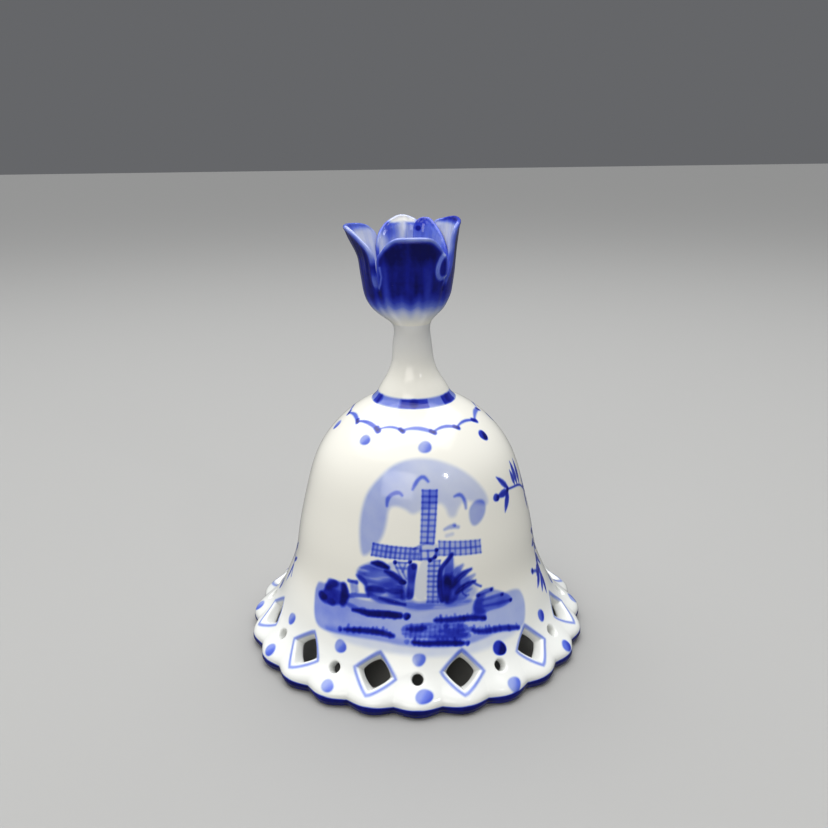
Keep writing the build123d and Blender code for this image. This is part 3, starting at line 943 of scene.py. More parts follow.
def paint_right_bush(brush):
    """Three broad pale leaves with dark tips, on a dark foot."""
    body = [(24.1, 19.5), (26.4, 21.1), (29.0, 21.7), (33.3, 22.0), (37.1, 21.4), (41.5, 20.0),
            (44.5, 18.5), (44.5, 17.5), (38.9, 17.2), (32.1, 17.6), (28.8, 17.4), (25.0, 17.5)]
    brush.patch(body, 0.4, edge=0.4, uneven=0.1)
    brush.patch([(27.4, 22.2), (25.8, 20.7), (23.8, 19.0), (23.8, 17.4), (28.8, 16.2), (29.8, 17.6),
                 (28.6, 18.6), (29.4, 20.2), (31.2, 21.4)], 0.5, edge=0.6)
    for line, width, density in (
        ([(27.2, 21.6), (30.0, 21.9), (35.0, 21.9)], 1.2, 0.5),
        ([(29.6, 20.2), (35.9, 20.1), (40.4, 19.9)], 0.8, 0.36),
        ([(29.3, 18.9), (37.5, 18.3), (44.4, 17.8)], 0.8, 0.4),
    ):
        brush.stroke(line, [0.7 * width, width, 0.7 * width], density, edge=0.35)
    for azimuth, height in ((34.3, 21.9), (27.4, 21.5), (39.7, 19.8), (43.8, 17.8)):
        brush.dot(azimuth, height, 0.95, 0.8, aspect=0.8, edge=0.28)


def paint_ground(brush):
    """Ground and water below the mill: pale washes with dark, toothed strokes on them."""
    bank = [(-48.6, 21.8), (-49.6, 21.0), (-50.3, 19.4), (-48.4, 16.4), (-46.2, 14.2), (-43.6, 13.0),
            (-40.0, 12.6), (-34.7, 12.9), (-29, 13.2), (-22, 13.5), (-14, 13.6), (-6, 13.0), (5, 12.5),
            (16, 12.1), (24, 12.3), (33, 12.8), (41, 11.6), (46.2, 11.4), (49.4, 13.0), (52.2, 15.8),
            (51.9, 17.8), (50.5, 19.0), (46, 19.8), (38, 20.0), (24, 21.0), (6, 21.6), (-8, 21.8),
            (-24, 21.4), (-38, 21.8), (-44, 22.2)]
    brush.patch(bank, 0.29, edge=0.5, uneven=0.05,
                shade=lambda x, y: 1.0 + 0.42 * smoothstep(2, -18, x))
    brush.patch([(-41, 13.6), (-34.7, 12.2), (-29.0, 12.0), (-22.3, 11.8), (-14.2, 11.7), (-6.5, 11.2),
                 (4.7, 10.7), (16.0, 10.4), (23.9, 10.2), (33.1, 10.7), (40.8, 10.8), (45, 11.8),
                 (33, 13.8), (0, 14.4), (-30, 14.6)], 0.13, edge=0.8, uneven=0.08)
    brush.patch([(-6.2, 17.2), (3.3, 17.6), (14.3, 17.2), (20.9, 16.2), (21.4, 14.2), (17.6, 13.5),
                 (8.9, 14.3), (-0.8, 14.5), (-6.1, 14.8)], 0.42, edge=0.4, streak=(5.0, 0.9))
    brush.patch([(-4.5, 22.6), (-6.0, 21.0), (2, 20.2), (12, 20.2), (24, 20.2), (24.5, 21.6), (8, 22.4)],
                0.26, edge=0.5, streak=(5.0, 0.9))
    brush.stroke([(-32.4, 19.8), (-28.3, 19.4), (-24.3, 19.1)], [0.6, 1.0, 0.7], 0.4, edge=0.35)
    brush.stroke([(-27.6, 18.7), (-24.3, 18.8), (-19.7, 18.7), (-15.3, 19.0), (-6.9, 19.0)],
                 [0.7, 1.2, 1.5, 1.5, 1.4], 0.97, edge=0.35)
    for azimuth in np.arange(-23.0, -7.0, 2.3):
        brush.dot(azimuth, 18.9 + 0.12 * math.sin(azimuth), 1.6, 0.6, edge=0.35)
    brush.dot(-4.1, 18.9, 1.6, 0.96, edge=0.28)
    for points, density, dab in (
        ([(-29.9, 14.3), (-22.2, 15.0), (-18.0, 15.2), (-13.9, 15.2), (-9.4, 14.8)], 0.9, (-31.9, 14.1)),
        ([(-1.6, 13.7), (3.0, 13.4), (8.8, 13.3), (14.5, 12.9), (17.7, 12.6)], 0.93, (19.4, 12.4)),
        ([(7.4, 17.9), (12.3, 17.7), (17.8, 17.5), (22.2, 17.3), (28.4, 16.4)], 0.86, (28.6, 16.5)),
        ([(22.8, 14.6), (26.2, 14.0), (29.9, 13.7), (34.6, 13.3), (43.8, 11.7)], 0.74, (22.0, 15.0)),
        ([(4.8, 14.5), (12.7, 14.3), (20.6, 13.9)], 0.36, (-4.0, 13.8)),
        ([(-3.6, 16.3), (-0.2, 16.3), (3.2, 16.5)], 0.74, (11.7, 16.5)),
        ([(8.6, 15.6), (13.0, 15.4), (18.6, 15.0)], 0.34, (17.4, 16.2)),
    ):
        brush.comb(points, density)
        brush.dot(*dab, 1.1, 0.8 * density, edge=0.32)
    for azimuth in np.arange(-4.5, 20.0, 1.9):
        brush.stroke([(azimuth, 14.7), (azimuth + 0.4, 16.7)], 0.4, 0.26, edge=0.28, smooth=False)


def paint_sprig(brush, stem, leaves, density):
    """A stem with pointed leaves."""
    brush.stroke(stem, [0.6, 0.55, 0.45], density, edge=0.25)
    for root, tip, width in leaves:
        brush.leaf(root, tip, width, density)


def paint_sides(brush):
    """The sprigs that reach round from the back at both sides."""
    paint_sprig(brush, [(84.0, 36.6), (79.7, 38.2), (74.4, 39.9), (67.5, 41.0), (63.0, 41.4),
                        (56.4, 41.9)], [
        ((57.4, 42.2), (49.6, 45.6), 1.5), ((56.2, 41.7), (46.5, 41.5), 1.7),
        ((56.4, 41.5), (50.4, 37.5), 1.7), ((66.0, 41.6), (64.6, 45.2), 1.5),
        ((69.6, 41.2), (69.0, 46.6), 2.0), ((73.6, 40.8), (75.8, 46.2), 1.9),
        ((82.0, 37.4), (84.0, 42.0), 1.6), ((81.0, 37.6), (79.0, 33.0), 1.5),
    ], 0.8)
    brush.dot(45.8, 41.5, 2.2, 0.85, aspect=0.8, edge=0.3)
    brush.dot(56.4, 41.9, 1.2, 0.85, edge=0.3)
    paint_sprig(brush, [(84.0, 31.0), (80.0, 25.0), (77.0, 20.2), (76.2, 16.4), (72.9, 12.8)], [
        ((75.6, 19.0), (69.4, 17.6), 1.6), ((74.8, 18.0), (65.6, 15.6), 1.5),
        ((75.6, 16.6), (68.6, 13.9), 1.5), ((76.2, 16.0), (72.4, 12.4), 1.6),
        ((77.4, 20.8), (74.0, 16.2), 1.6), ((77.4, 21.4), (82.6, 17.2), 1.6),
        ((78.6, 23.4), (84.6, 21.0), 1.5), ((79.6, 24.6), (73.2, 24.4), 1.5),
        ((81.0, 26.6), (76.0, 27.6), 1.5),
    ], 0.78)
    brush.dot(66.0, 19.6, 1.5, 0.8, edge=0.3)
    brush.stroke([(66.2, 19.5), (70.4, 18.6)], 0.8, 0.6, edge=0.3)
    paint_sprig(brush, [(-97.0, 33.0), (-90.0, 27.0), (-83.4, 21.8), (-76.4, 16.4)], [
        ((-80.6, 19.6), (-75.6, 21.4), 1.1), ((-83.4, 21.8), (-78.4, 24.8), 1.2),
        ((-79.8, 19.0), (-82.0, 13.6), 1.2), ((-86.2, 24.2), (-88.8, 17.6), 1.3),
        ((-88.0, 25.4), (-83.4, 29.4), 1.3), ((-92.4, 29.0), (-96.4, 22.6), 1.3),
        ((-93.2, 30.0), (-88.6, 34.6), 1.3),
    ], 0.74)


FLOWER_PETALS = 7


def paint_flower(brush, azimuth, height, size):
    """A flower of round petals, each with a pale body, a dark base and fine veins."""
    degrees = math.degrees(1.0 / FLOWER_RADIUS)
    for index in range(FLOWER_PETALS):
        angle = 2 * math.pi * (index + 0.25) / FLOWER_PETALS
        reach = size * (1.0 + 0.12 * math.sin(3.0 * index))
        tip = (azimuth + reach * math.cos(angle) * degrees, height + reach * math.sin(angle))
        root = (azimuth + 0.22 * size * math.cos(angle) * degrees, height + 0.22 * size * math.sin(angle))
        widths = [0.25 * size, 0.62 * size, 0.78 * size, 0.7 * size, 0.3 * size]
        brush.stroke([root, tip], widths, 0.3, edge=0.5, smooth=False)
        for spread in (-0.24, 0.0, 0.24):
            end = (azimuth + 0.85 * reach * math.cos(angle + spread) * degrees,
                   height + 0.85 * reach * math.sin(angle + spread))
            brush.stroke([root, end], [0.9, 0.6, 0.4], 0.5, edge=0.36, smooth=False)
    brush.dot(azimuth, height, 0.42 * size, 0.9)


def paint_back(brush):
    """A flower spray on the back, in the same hand: three flowers on curved leafy stems."""
    stems = (
        [(180, 13.5), (181, 22), (178, 31), (180, 40)],
        [(180, 14.5), (166, 20), (152, 27), (138, 31), (122, 32.5)],
        [(181, 16.0), (196, 21), (208, 27), (222, 32), (238, 34.5)],
        [(122, 32.5), (108, 34.5), (94, 36.5), (80, 38.5)],
        [(238, 34.5), (250, 35), (262, 33.5)],
    )
    for stem in stems:
        brush.stroke(stem, [0.9, 0.75, 0.6], 0.72, edge=0.36)
    for azimuth, height, turn in (
        (160, 23, -1), (150, 28, 1),
        (141, 30, -1), (128, 32, 1), (114, 33.5, -1), (103, 35.4, 1), (92, 36.8, -1),
        (201, 23, -1), (211, 28.5, 1), (219, 31, -1), (231, 33.5, 1), (246, 35, -1), (257, 34.2, 1),
    ):
        lean = 5.5 * (1 if azimuth > 180 else -1)
        rise = 4.6 * turn
        brush.leaf((azimuth, height), (azimuth + lean, height + rise), 1.9, 0.55, dry=0.0, edge=0.42)
        brush.leaf((azimuth, height), (azimuth + 0.4 * lean, height + 1.15 * rise), 1.4, 0.7, dry=0.0,
                   edge=0.42)
    for azimuth, height, side in ((180.8, 19.5, -1), (180.8, 22, 1), (179, 27, -1), (178.3, 30, 1)):
        brush.leaf((azimuth, height), (azimuth + 11 * side, height + 3.6), 1.9, 0.55, dry=0.0, edge=0.42)
        brush.leaf((azimuth, height), (azimuth + 7 * side, height + 5.2), 1.4, 0.7, dry=0.0, edge=0.42)
    paint_flower(brush, 180, 42.5, 5.6)
    paint_flower(brush, 144, 36.0, 4.6)
    paint_flower(brush, 214, 37.5, 4.6)


def paint_shell(brush):
    """The whole painting; later parts go over the earlier ones."""
    paint_sky(brush)
    paint_ground(brush)
    paint_big_bush(brush)
    paint_small_bush(brush)
    paint_reeds(brush)
    paint_right_bush(brush)
    paint_mill(brush)
    paint_sides(brush)
    paint_back(brush)
    paint_shoulder(brush)
    paint_foot(brush)


# ---- materials ----------------------------------------------------------------------------
class Nodes:
    """Short calls for building a node tree."""

    def __init__(self, name):
        self.material = bpy.data.materials.new(name)
        self.material.use_nodes = True
        self.tree = self.material.node_tree
        self.shader = self.tree.nodes["Principled BSDF"]

    def add(self, kind, inputs=None, **settings):
        node = self.tree.nodes.new(kind)
        for key, value in settings.items():
            setattr(node, key, value)
        for key, value in (inputs or {}).items():
            if hasattr(value, "is_output"):
                self.tree.links.new(value, node.inputs[key])
            else:
                node.inputs[key].default_value = value
        return node

    def link(self, source, name):
        """Feeds an input of the shader."""
        self.tree.links.new(source, self.shader.inputs[name])

    def noise(self, scale, detail=3.0, roughness=0.5):
        place = self.add("ShaderNodeTexCoord").outputs["Object"]
        inputs = {"Vector": place, "Scale": scale, "Detail": detail, "Roughness": roughness}
        return self.add("ShaderNodeTexNoise", inputs).outputs["Fac"]

    def remap(self, value, low, high, to_low, to_high):
        inputs = {"Value": value, "From Min": low, "From Max": high, "To Min": to_low, "To Max": to_high}
        return self.add("ShaderNodeMapRange", inputs).outputs["Result"]

    def math(self, operation, first, second):
        return self.add("ShaderNodeMath", {0: first, 1: second}, operation=operation).outputs[0]

    def ramp(self, value, stops):
        node = self.add("ShaderNodeValToRGB", {"Fac": value})
        elements = node.color_ramp.elements
        while len(elements) < len(stops):
            elements.new(0.5)
        for element, (place, colour) in zip(elements, stops):
            element.position = place
            element.color = (*colour, 1.0)
        return node.outputs["Color"]

    def mix(self, factor, first, second, blend="MIX"):
        """Mixes two colours: sockets 0, 6 and 7 of the mix node, and its output 2."""
        node = self.add("ShaderNodeMix", {0: factor, 6: first, 7: second}, data_type="RGBA",
                        blend_type=blend)
        return node.outputs[2]

    def bump(self, height, strength, distance, normal=None):
        inputs = {"Height": height, "Strength": strength, "Distance": distance}
        if normal is not None:
            inputs["Normal"] = normal
        return self.add("ShaderNodeBump", inputs).outputs["Normal"]

    def set(self, **values):
        for key, value in values.items():
            self.shader.inputs[key.replace("_", " ")].default_value = value


# Colour of the glazed face against the density of the cobalt.
COBALT_STOPS = [
    (0.00, (0.820, 0.810, 0.745)),
    (0.12, (0.620, 0.650, 0.715)),
    (0.28, (0.375, 0.435, 0.680)),
    (0.50, (0.105, 0.160, 0.620)),
    (0.72, (0.022, 0.040, 0.450)),
    (0.88, (0.005, 0.010, 0.270)),
    (1.00, (0.001, 0.002, 0.090)),
]
# The glaze looks cooler on the skirt: its tint there, and the heights in metres over which
# the tint fades.
SKIRT_TINT = (0.925, 0.955, 1.01, 1)
SKIRT_FADE = (0.009, 0.021)
SPECK_COLOUR = (0.42, 0.40, 0.36, 1)


def painted_porcelain(name):
    """White porcelain with cobalt under a clear glaze. The cobalt comes from the mesh."""
    nodes = Nodes(name)
    cobalt = nodes.add("ShaderNodeAttribute", attribute_name="cobalt").outputs["Fac"]
    pooling = nodes.remap(nodes.noise(900.0, 3.0, 0.5), 0.3, 0.7, 0.98, 1.02)
    clouds = nodes.remap(nodes.noise(260.0, 2.0), 0.3, 0.7, 0.97, 1.03)
    density = nodes.math("MULTIPLY", nodes.math("MULTIPLY", cobalt, pooling), clouds)
    blue = nodes.ramp(density, COBALT_STOPS)
    place = nodes.add("ShaderNodeTexCoord").outputs["Object"]
    height = nodes.add("ShaderNodeSeparateXYZ", {"Vector": place}).outputs["Z"]
    cool = nodes.remap(height, *SKIRT_FADE, 1.0, 0.0)
    glazed = nodes.mix(cool, blue, SKIRT_TINT, "MULTIPLY")
    specks = nodes.remap(nodes.noise(2300.0, 1.0), 0.79, 0.83, 0.0, 0.2)
    body = nodes.mix(specks, glazed, SPECK_COLOUR)
    nodes.link(body, "Base Color")
    rough = nodes.remap(nodes.noise(500.0, 3.0), 0.35, 0.7, 0.07, 0.15)
    nodes.link(rough, "Roughness")
    waves = nodes.bump(nodes.noise(70.0, 1.0), 0.25, 0.00025)
    glaze = nodes.bump(nodes.noise(900.0, 2.0), 0.10, 0.00004, waves)
    nodes.link(glaze, "Normal")
    nodes.set(IOR=1.43, Coat_Weight=0.1, Coat_Roughness=0.03, Coat_IOR=1.45)
    return nodes.material


def bead_porcelain(name):
    """Plain white porcelain, with the faint marks of striking the wall."""
    nodes = Nodes(name)
    marks = nodes.remap(nodes.noise(900.0, 4.0, 0.7), 0.62, 0.72, 0.0, 1.0)
    body = nodes.ramp(marks, [(0.0, (0.78, 0.78, 0.74)), (1.0, (0.60, 0.60, 0.58))])
    nodes.link(body, "Base Color")
    rough = nodes.remap(nodes.noise(700.0, 3.0), 0.3, 0.7, 0.10, 0.24)
    nodes.link(rough, "Roughness")
    nodes.link(nodes.bump(nodes.noise(600.0, 3.0), 0.12, 0.00008), "Normal")
    nodes.set(IOR=1.52, Coat_Weight=0.4, Coat_Roughness=0.05)
    return nodes.material


def brass(name, scale, worn):
    """Drawn or turned brass with dull patches and fine scratches."""
    nodes = Nodes(name)
    place = nodes.add("ShaderNodeTexCoord").outputs["Object"]
    stretch = nodes.add("ShaderNodeMapping", {"Vector": place, "Scale": (scale, scale, scale * 8)})
    lines = nodes.add("ShaderNodeTexNoise", {"Vector": stretch.outputs["Vector"], "Scale": 1.0,
                                             "Detail": 4.0}).outputs["Fac"]
    dull = nodes.remap(nodes.noise(420.0, 5.0, 0.65), 0.4, 0.65, 0.0, 1.0)
    metal = nodes.ramp(dull, [(0.0, (0.78, 0.56, 0.24)), (0.55, (0.60, 0.40, 0.15)), (1.0, worn)])
    nodes.link(metal, "Base Color")
    rough = nodes.math("ADD", nodes.remap(lines, 0.3, 0.7, 0.16, 0.3), nodes.math("MULTIPLY", dull, 0.16))
    nodes.link(rough, "Roughness")
    nodes.link(nodes.bump(lines, 0.3, 0.00003), "Normal")
    nodes.set(Metallic=1.0)
    return nodes.material


# ---- turned pieces ------------------------------------------------------------------------
TURNED_SHARP_ANGLE = 50


def turned_points(sections, azimuths, shape=None):
    """Rows of points round an axis that may shift; a section is (radius, height, offset)."""
    rows = []
    for radius, height, offset in sections:
        reach = radius + (shape(azimuths, height) if shape else 0.0)
        rows.append(around(reach, azimuths, height, offset))
    return np.array(rows)


def mesh_rows(name, rows, attributes=None, wrap=True, caps=False):
    """A tube of rows of points, closed into a ring or with flat ends."""
    count, columns = rows.shape[:2]
    quads = grid_quads(count, columns, wrap, True)
    flats = []
    if caps:
        flats = [range(columns), range((count - 1) * columns, count * columns)]
    piece = build_mesh(name, rows.reshape(-1, 3), quads, attributes, flats)
    piece.data.set_sharp_from_angle(angle=math.radians(TURNED_SHARP_ANGLE))
    return piece


# Sections of the stem from the crown up, and of its bore from the top down, as (radius, height,
# offset of the axis).
STEM_RINGS = [
    (CROWN_RADIUS, CROWN_HEIGHT, 0.0),
    (9.0, 61.5, 0.0),
    (8.0, 63.2, 0.0),
    (6.3, 66.0, -0.05),
    (4.9, 70.0, -0.1),
    (4.55, 74.0, -0.2),
    (4.6, STEM_TOP, STEM_TOP_OFFSET),
]
STEM_BORE = [
    (2.2, STEM_TOP, STEM_TOP_OFFSET),
    (2.4, 72.0, -0.2),
    (3.3, 67.0, -0.1),
    (4.9, 63.0, 0.0),
    (7.0, CROWN_HEIGHT, 0.0),
]
# Degrees from one column of the mesh to the next.
STEM_STEP = 2.5
# Stands for a distance along the outer face where there is none, so that no cobalt lands there.
OFF_THE_FACE = -99.0
# The blue band round the foot of the stem: the heights of its lower edge, middle and upper
# edge, and its darker stretches as (first azimuth, last azimuth, density).
BAND_LOW = 60.45
BAND_MIDDLE = 61.35
BAND_HIGH = 62.15
BAND_DABS = ((-20, 21, 0.6), (-74, -58, 0.62), (46, 76, 0.68), (150, 190, 0.6), (232, 262, 0.6))


def handle_profile():
    """One smooth line for the outside of the stem and the cup, split where the two meet."""
    line, _ = line_through(STEM_RINGS + CUP_RINGS[1:], 0.2)
    split = int(np.argmin(np.abs(line[:, 1] - STEM_TOP)))
    line[split, 1] = STEM_TOP
    return line[: split + 1], line[split:]


def paint_band(brush):
    """The blue band with its darker dabs, over the seam of stem and crown."""
    for start in range(0, 360, 60):
        line = [(start, BAND_MIDDLE), (start + 30, BAND_MIDDLE), (start + 60, BAND_MIDDLE)]
        brush.stroke(line, 1.9, 0.46, edge=0.3)
    for start, end, dark in BAND_DABS:
        middle = (start + end) / 2
        outline = [(start, BAND_LOW), (middle, BAND_LOW - 0.05), (end, BAND_LOW), (end, BAND_HIGH),
                   (middle, BAND_HIGH + 0.05), (start, BAND_HIGH)]
        brush.patch(outline, dark, edge=0.2, uneven=0.05, sharp=True)


def build_stem():
    """The hollow waisted stem, with the painted band at its base."""
    azimuths = np.arange(0, 360, STEM_STEP)
    outer, _ = handle_profile()
    bore, _ = line_through(STEM_BORE, 1.0)
    sections = np.concatenate([outer, bore])
    rows = turned_points(sections, azimuths)
    turn = np.tile(azimuths, len(sections))
    height = np.repeat(sections[:, 1], len(azimuths))
    radius = np.repeat(sections[:, 0], len(azimuths))
    outside = np.arange(len(turn)) < len(outer) * len(azimuths)
    along = np.where(outside, height, OFF_THE_FACE)
    brush = Brush(turn, along, radius, lambda z: z, seed=5)
    paint_band(brush)
    haze = 0.05 * smoothstep(66, 76, height)
    density = np.maximum(brush.density, haze)
    return mesh_rows("handle_stem_glazed", rows, {"cobalt": density})


# Sections of the outside of the cup from the stem up, as (radius, height, offset of the axis),
# and of the bowl inside it from the rim down, as (radius, height).
CUP_RINGS = [
    (4.6, STEM_TOP, STEM_TOP_OFFSET),
    (5.55, 79.6, -0.65),
    (6.95, 80.8, -0.9),
    (8.35, 82.2, -1.0),
    (9.25, 83.6, TULIP_OFFSET),
    (9.95, 85.2, TULIP_OFFSET),
    (10.35, CUP_RIM, TULIP_OFFSET),
]
BOWL = [(8.85, CUP_RIM), (8.1, 85.0), (6.8, 83.1), (4.5, 81.8), (2.2, 81.52), (0.3, 81.5)]
# Degrees from one column of the mesh to the next.
CUP_STEP = 1.5
# Furrows between the petals: (azimuth, depth), the radius at which they are measured and
# their half width in mm.
CLEFTS = ((-39.5, 0.34), (51.3, 0.2), (137.5, 0.22), (174.5, 0.22), (227.5, 0.26))
CLEFT_RADIUS = 9.8
CLEFT_WIDTH = 0.75
# Radii at which the marks of the brush are measured on the petals and on the cup.
PETAL_MARK_RADIUS = 10.0
CUP_MARK_RADIUS = 9.0


def cleft_depth(azimuth):
    """How deep the furrows lie that run down the cup between its petals."""
    depth = np.zeros_like(np.asarray(azimuth, float))
    for cleft, deep in CLEFTS:
        offset = wrapped(azimuth - cleft) * math.radians(CLEFT_RADIUS)
        depth += deep * hump(offset, CLEFT_WIDTH)
    return depth


def round_the_tulip(azimuth, radius):
    """Distance in mm round the tulip, from its front."""
    return np.radians(wrapped(azimuth)) * radius


def tulip_streaks(azimuth, height, seed):
    """Upright marks of the brush on the petals, about -1 to 1."""
    across = round_the_tulip(azimuth, PETAL_MARK_RADIUS)
    wide = ripple(across, height * 0.05, 3.4, seed)
    fine = ripple(across, height * 0.08, 1.1, seed + 1)
    return 0.65 * wide + 0.35 * fine


# A painted highlight: the pale line where the front petal's left edge folds over the left petal.
LEFT_FOLD_HIGHLIGHT = ((-42.0, 93.3), (-44.3, 90.4), (-44.6, 88.7), (-41.5, 87.6), (-37.0, 87.8), (-33.2, 89.0),
             (-31.0, 90.6), (-32.0, 92.7))


def tulip_outside(azimuth, height):
    """Cobalt on the outside of the tulip: dark above, fading in points towards the stem, with painted
    shade and a painted highlight.
    """
    across = round_the_tulip(azimuth, CUP_MARK_RADIUS)
    gap = 0.5 + 0.5 * ripple(across, 0.1 * height, 3.0, 33)
    fade = smoothstep(79.7 + 0.4 * gap, 86.5 + 1.2 * gap, height)
    streaks = tulip_streaks(azimuth, height, 41)
    body = 0.92 + 0.045 * streaks + 0.07 * smoothstep(92, 96, height)
    for bright, strong in ((-26.0, 0.22), (25.0, 0.17), (-2.0, -0.04), (78.0, 0.14), (-78.0, 0.16)):
        body = body - strong * hump(wrapped(azimuth - bright), 5.0) * smoothstep(96, 84, height)
    # Darker in the furrow between the front and left petals: painted shade over the dark cobalt there.
    body = body + 0.12 * hump(wrapped(azimuth + 38.0), 3.0)
    # Painted highlight: a pale line along the left fold.
    fold_highlight = outline_distance(wrapped(azimuth), height, np.array(LEFT_FOLD_HIGHLIGHT))
    body = np.clip(body, 0.0, 1.0) * (1 - 0.42 * hump(fold_highlight, 0.24))
    # Below the fade a faint blue-grey stays: partly painted shade under the flare of the cup.
    return body * fade + 0.09 * smoothstep(78.8, 81.2, height) * (1 - fade)


def build_cup():
    """The bowl at the foot of the tulip, with shallow furrows between the petals."""
    azimuths = np.arange(0, 360, CUP_STEP)
    _, outer = handle_profile()
    bowl, _ = line_through(BOWL, 0.5)
    bowl = np.column_stack([bowl, np.full(len(bowl), TULIP_OFFSET)])
    under = [(0.3, STEM_TOP, STEM_TOP_OFFSET), (2.5, STEM_TOP, STEM_TOP_OFFSET)]
    sections = np.concatenate([under, outer, bowl])

    def furrow(azimuth, height):
        return -cleft_depth(azimuth) * smoothstep(80.0, 84.5, height)

    outer_rows = turned_points(outer, azimuths, furrow)
    rows = np.concatenate([turned_points(under, azimuths), outer_rows, turned_points(bowl, azimuths)])
    turn = np.tile(azimuths, len(sections))
    height = np.repeat(sections[:, 1], len(azimuths))
    index = np.repeat(np.arange(len(sections)), len(azimuths))
    outside = index < len(under) + len(outer)
    inside = 0.26 + 0.06 * tulip_streaks(turn, height, 51) * smoothstep(81.6, 85.0, height)
    density = np.where(outside, tulip_outside(turn, height), inside)
    return mesh_rows("tulip_cup_glazed", rows, {"cobalt": density}, wrap=False, caps=True)


# ---- petals -------------------------------------------------------------------------------
# An outline is (azimuth, height), from the low-azimuth end of the foot over the tip to the
# other end. A profile is (height, outer radius). The tip flare pushes the petal outwards
# round one azimuth: (azimuth, half width in degrees, amount, height where it starts).
PETALS = {
    "petal_front": {
        "outline": [(-39.6, CUP_RIM), (-38.0, 89.5), (-37.0, 93.0), (-35.6, 94.7), (-30.2, 96.1),
                    (-24.8, 97.3), (-19.2, 98.3), (-13.0, 99.0), (3.0, 99.3), (20.0, 99.2),
                    (29.0, 98.8), (36.0, 97.8), (42.0, 96.5), (47.5, 95.2), (51.0, 93.2),
                    (51.2, 90.5), (51.2, CUP_RIM)],
        "profile": [(CUP_RIM, 10.35), (90.5, 10.85), (94.0, 11.2), (96.6, 11.45), (98.2, 11.85),
                    (99.3, 12.5)],
        "thick": (1.5, 1.05),
        "flare": (0.0, 40.0, 0.0, 97.0),
    },
    "petal_left": {
        "outline": [(-139.0, CUP_RIM), (-141.0, 93.0), (-141.5, 96.5), (-140.0, 98.3),
                    (-135.0, 99.5), (-126.0, 100.5), (-112.0, 101.0), (-97.0, 101.2),
                    (-84.0, 101.2), (-70.0, 100.6), (-62.5, 99.7), (-55.0, 98.4), (-48.0, 97.0),
                    (-43.5, 95.6), (-42.2, 93.0), (-42.0, 89.5), (-40.2, CUP_RIM)],
        "profile": [(CUP_RIM, 10.35), (90.5, 10.85), (94.5, 11.35), (97.6, 11.75), (101.2, 12.1)],
        "thick": (1.5, 1.0),
        "flare": (-88.0, 36.0, 2.1, 93.0),
    },
    "petal_right": {
        "outline": [(51.8, CUP_RIM), (54.0, 89.6), (59.0, 91.6), (62.5, 93.6), (63.5, 96.0),
                    (64.5, 98.6), (66.5, 100.2), (72.0, 101.3), (82.0, 101.9), (96.0, 102.3),
                    (110.0, 102.4), (122.0, 102.1), (133.0, 101.6), (143.0, 101.0),
                    (148.5, 99.6), (149.0, 95.0), (147.0, CUP_RIM)],
        "profile": [(CUP_RIM, 10.35), (90.5, 10.85), (93.5, 11.15), (97.5, 11.5), (100.5, 11.75),
                    (102.6, 11.9)],
        "thick": (1.5, 1.0),
        "flare": (90.0, 40.0, 0.25, 95.0),
    },
    "petal_back_left": {
        "outline": [(160.0, CUP_RIM), (158.5, 94.0), (160.0, 98.5), (166.0, 100.7), (176.5, 101.8),
                    (185.0, 102.2), (193.5, 101.9), (201.5, 101.2), (207.5, 100.6),
                    (214.0, 99.5), (221.0, 97.9), (225.0, 96.0), (226.5, 93.5), (227.0, CUP_RIM)],
        "profile": [(CUP_RIM, 10.3), (91.0, 10.45), (96.0, 10.5), (100.0, 10.95), (102.6, 11.8)],
        "thick": (1.4, 1.1),
        "flare": (188.0, 30.0, 0.0, 99.0),
    },
    "petal_back_right": {
        "outline": [(98.0, CUP_RIM), (99.0, 91.0), (106.0, 94.2), (116.0, 96.5), (126.0, 98.4),
                    (136.0, 99.9), (144.5, 101.1), (152.0, 101.7), (161.0, 101.6), (168.0, 100.6),
                    (171.0, 98.0), (172.0, 93.0), (171.0, CUP_RIM)],
        "profile": [(CUP_RIM, 9.9), (91.0, 9.95), (96.0, 9.85), (99.5, 10.2), (101.4, 10.75)],
        "thick": (1.3, 1.0),
        "flare": (150.0, 30.0, 0.0, 99.0),
    },
}
EDGE_ROUNDING = 0.5
PETAL_ROWS = 80
PETAL_COLUMNS = 90
TULIP_RADIUS = 11.0
# The flap that folds back over the right edge of the front petal: (azimuth, height).
FRONT_FLAP = [(46.5, 95.6), (41.0, 94.4), (37.2, 92.9), (36.4, 91.6), (38.4, 90.4), (43.0, 89.8),
              (47.5, 90.2), (56.0, 90.6), (58.0, 96.0)]


def outline_distance(azimuth, height, outline, closed=False):
    """Distance in mm from places on the tulip to an outline."""
    scale = math.radians(TULIP_RADIUS)
    distance = np.full(azimuth.shape, 1e9)
    following = outline[1:]
    if closed:
        following = np.concatenate([outline[1:], outline[:1]])
    for here, there in zip(outline, following):
        x = (azimuth - here[0]) * scale
        y = height - here[1]
        run_x = (there[0] - here[0]) * scale
        run_y = there[1] - here[1]
        square = run_x**2 + run_y**2 + 1e-12
        distance = np.minimum(distance, nearest_share(x, y, run_x, run_y, square)[1])
    return distance


def is_inside(azimuth, height, outline):
    """Which places lie inside a closed outline."""
    inside = np.zeros(azimuth.shape, bool)
    for here, there in zip(outline, np.roll(outline, -1, axis=0)):
        crossing = (here[1] > height) != (there[1] > height)
        rise = there[1] - here[1] if there[1] != here[1] else 1e-12
        at = here[0] + (height - here[1]) / rise * (there[0] - here[0])
        inside ^= crossing & (azimuth < at)
    return inside


def front_flap(azimuth, height):
    """1 on the folded flap of the front petal and 0 off it, and the distance from its edge."""
    outline = corners_cut(np.array(FRONT_FLAP))
    distance = outline_distance(azimuth, height, outline, closed=True)
    signed = np.where(is_inside(azimuth, height, outline), distance, -distance)
    return smoothstep(-0.25, 0.3, signed), np.abs(signed)


# Density of the wash on the inner faces.
INSIDE_WASH = {
    "petal_front": 0.36,
    "petal_left": 0.24,
    "petal_right": 0.2,
    "petal_back_left": 0.36,
    "petal_back_right": 0.5,
}
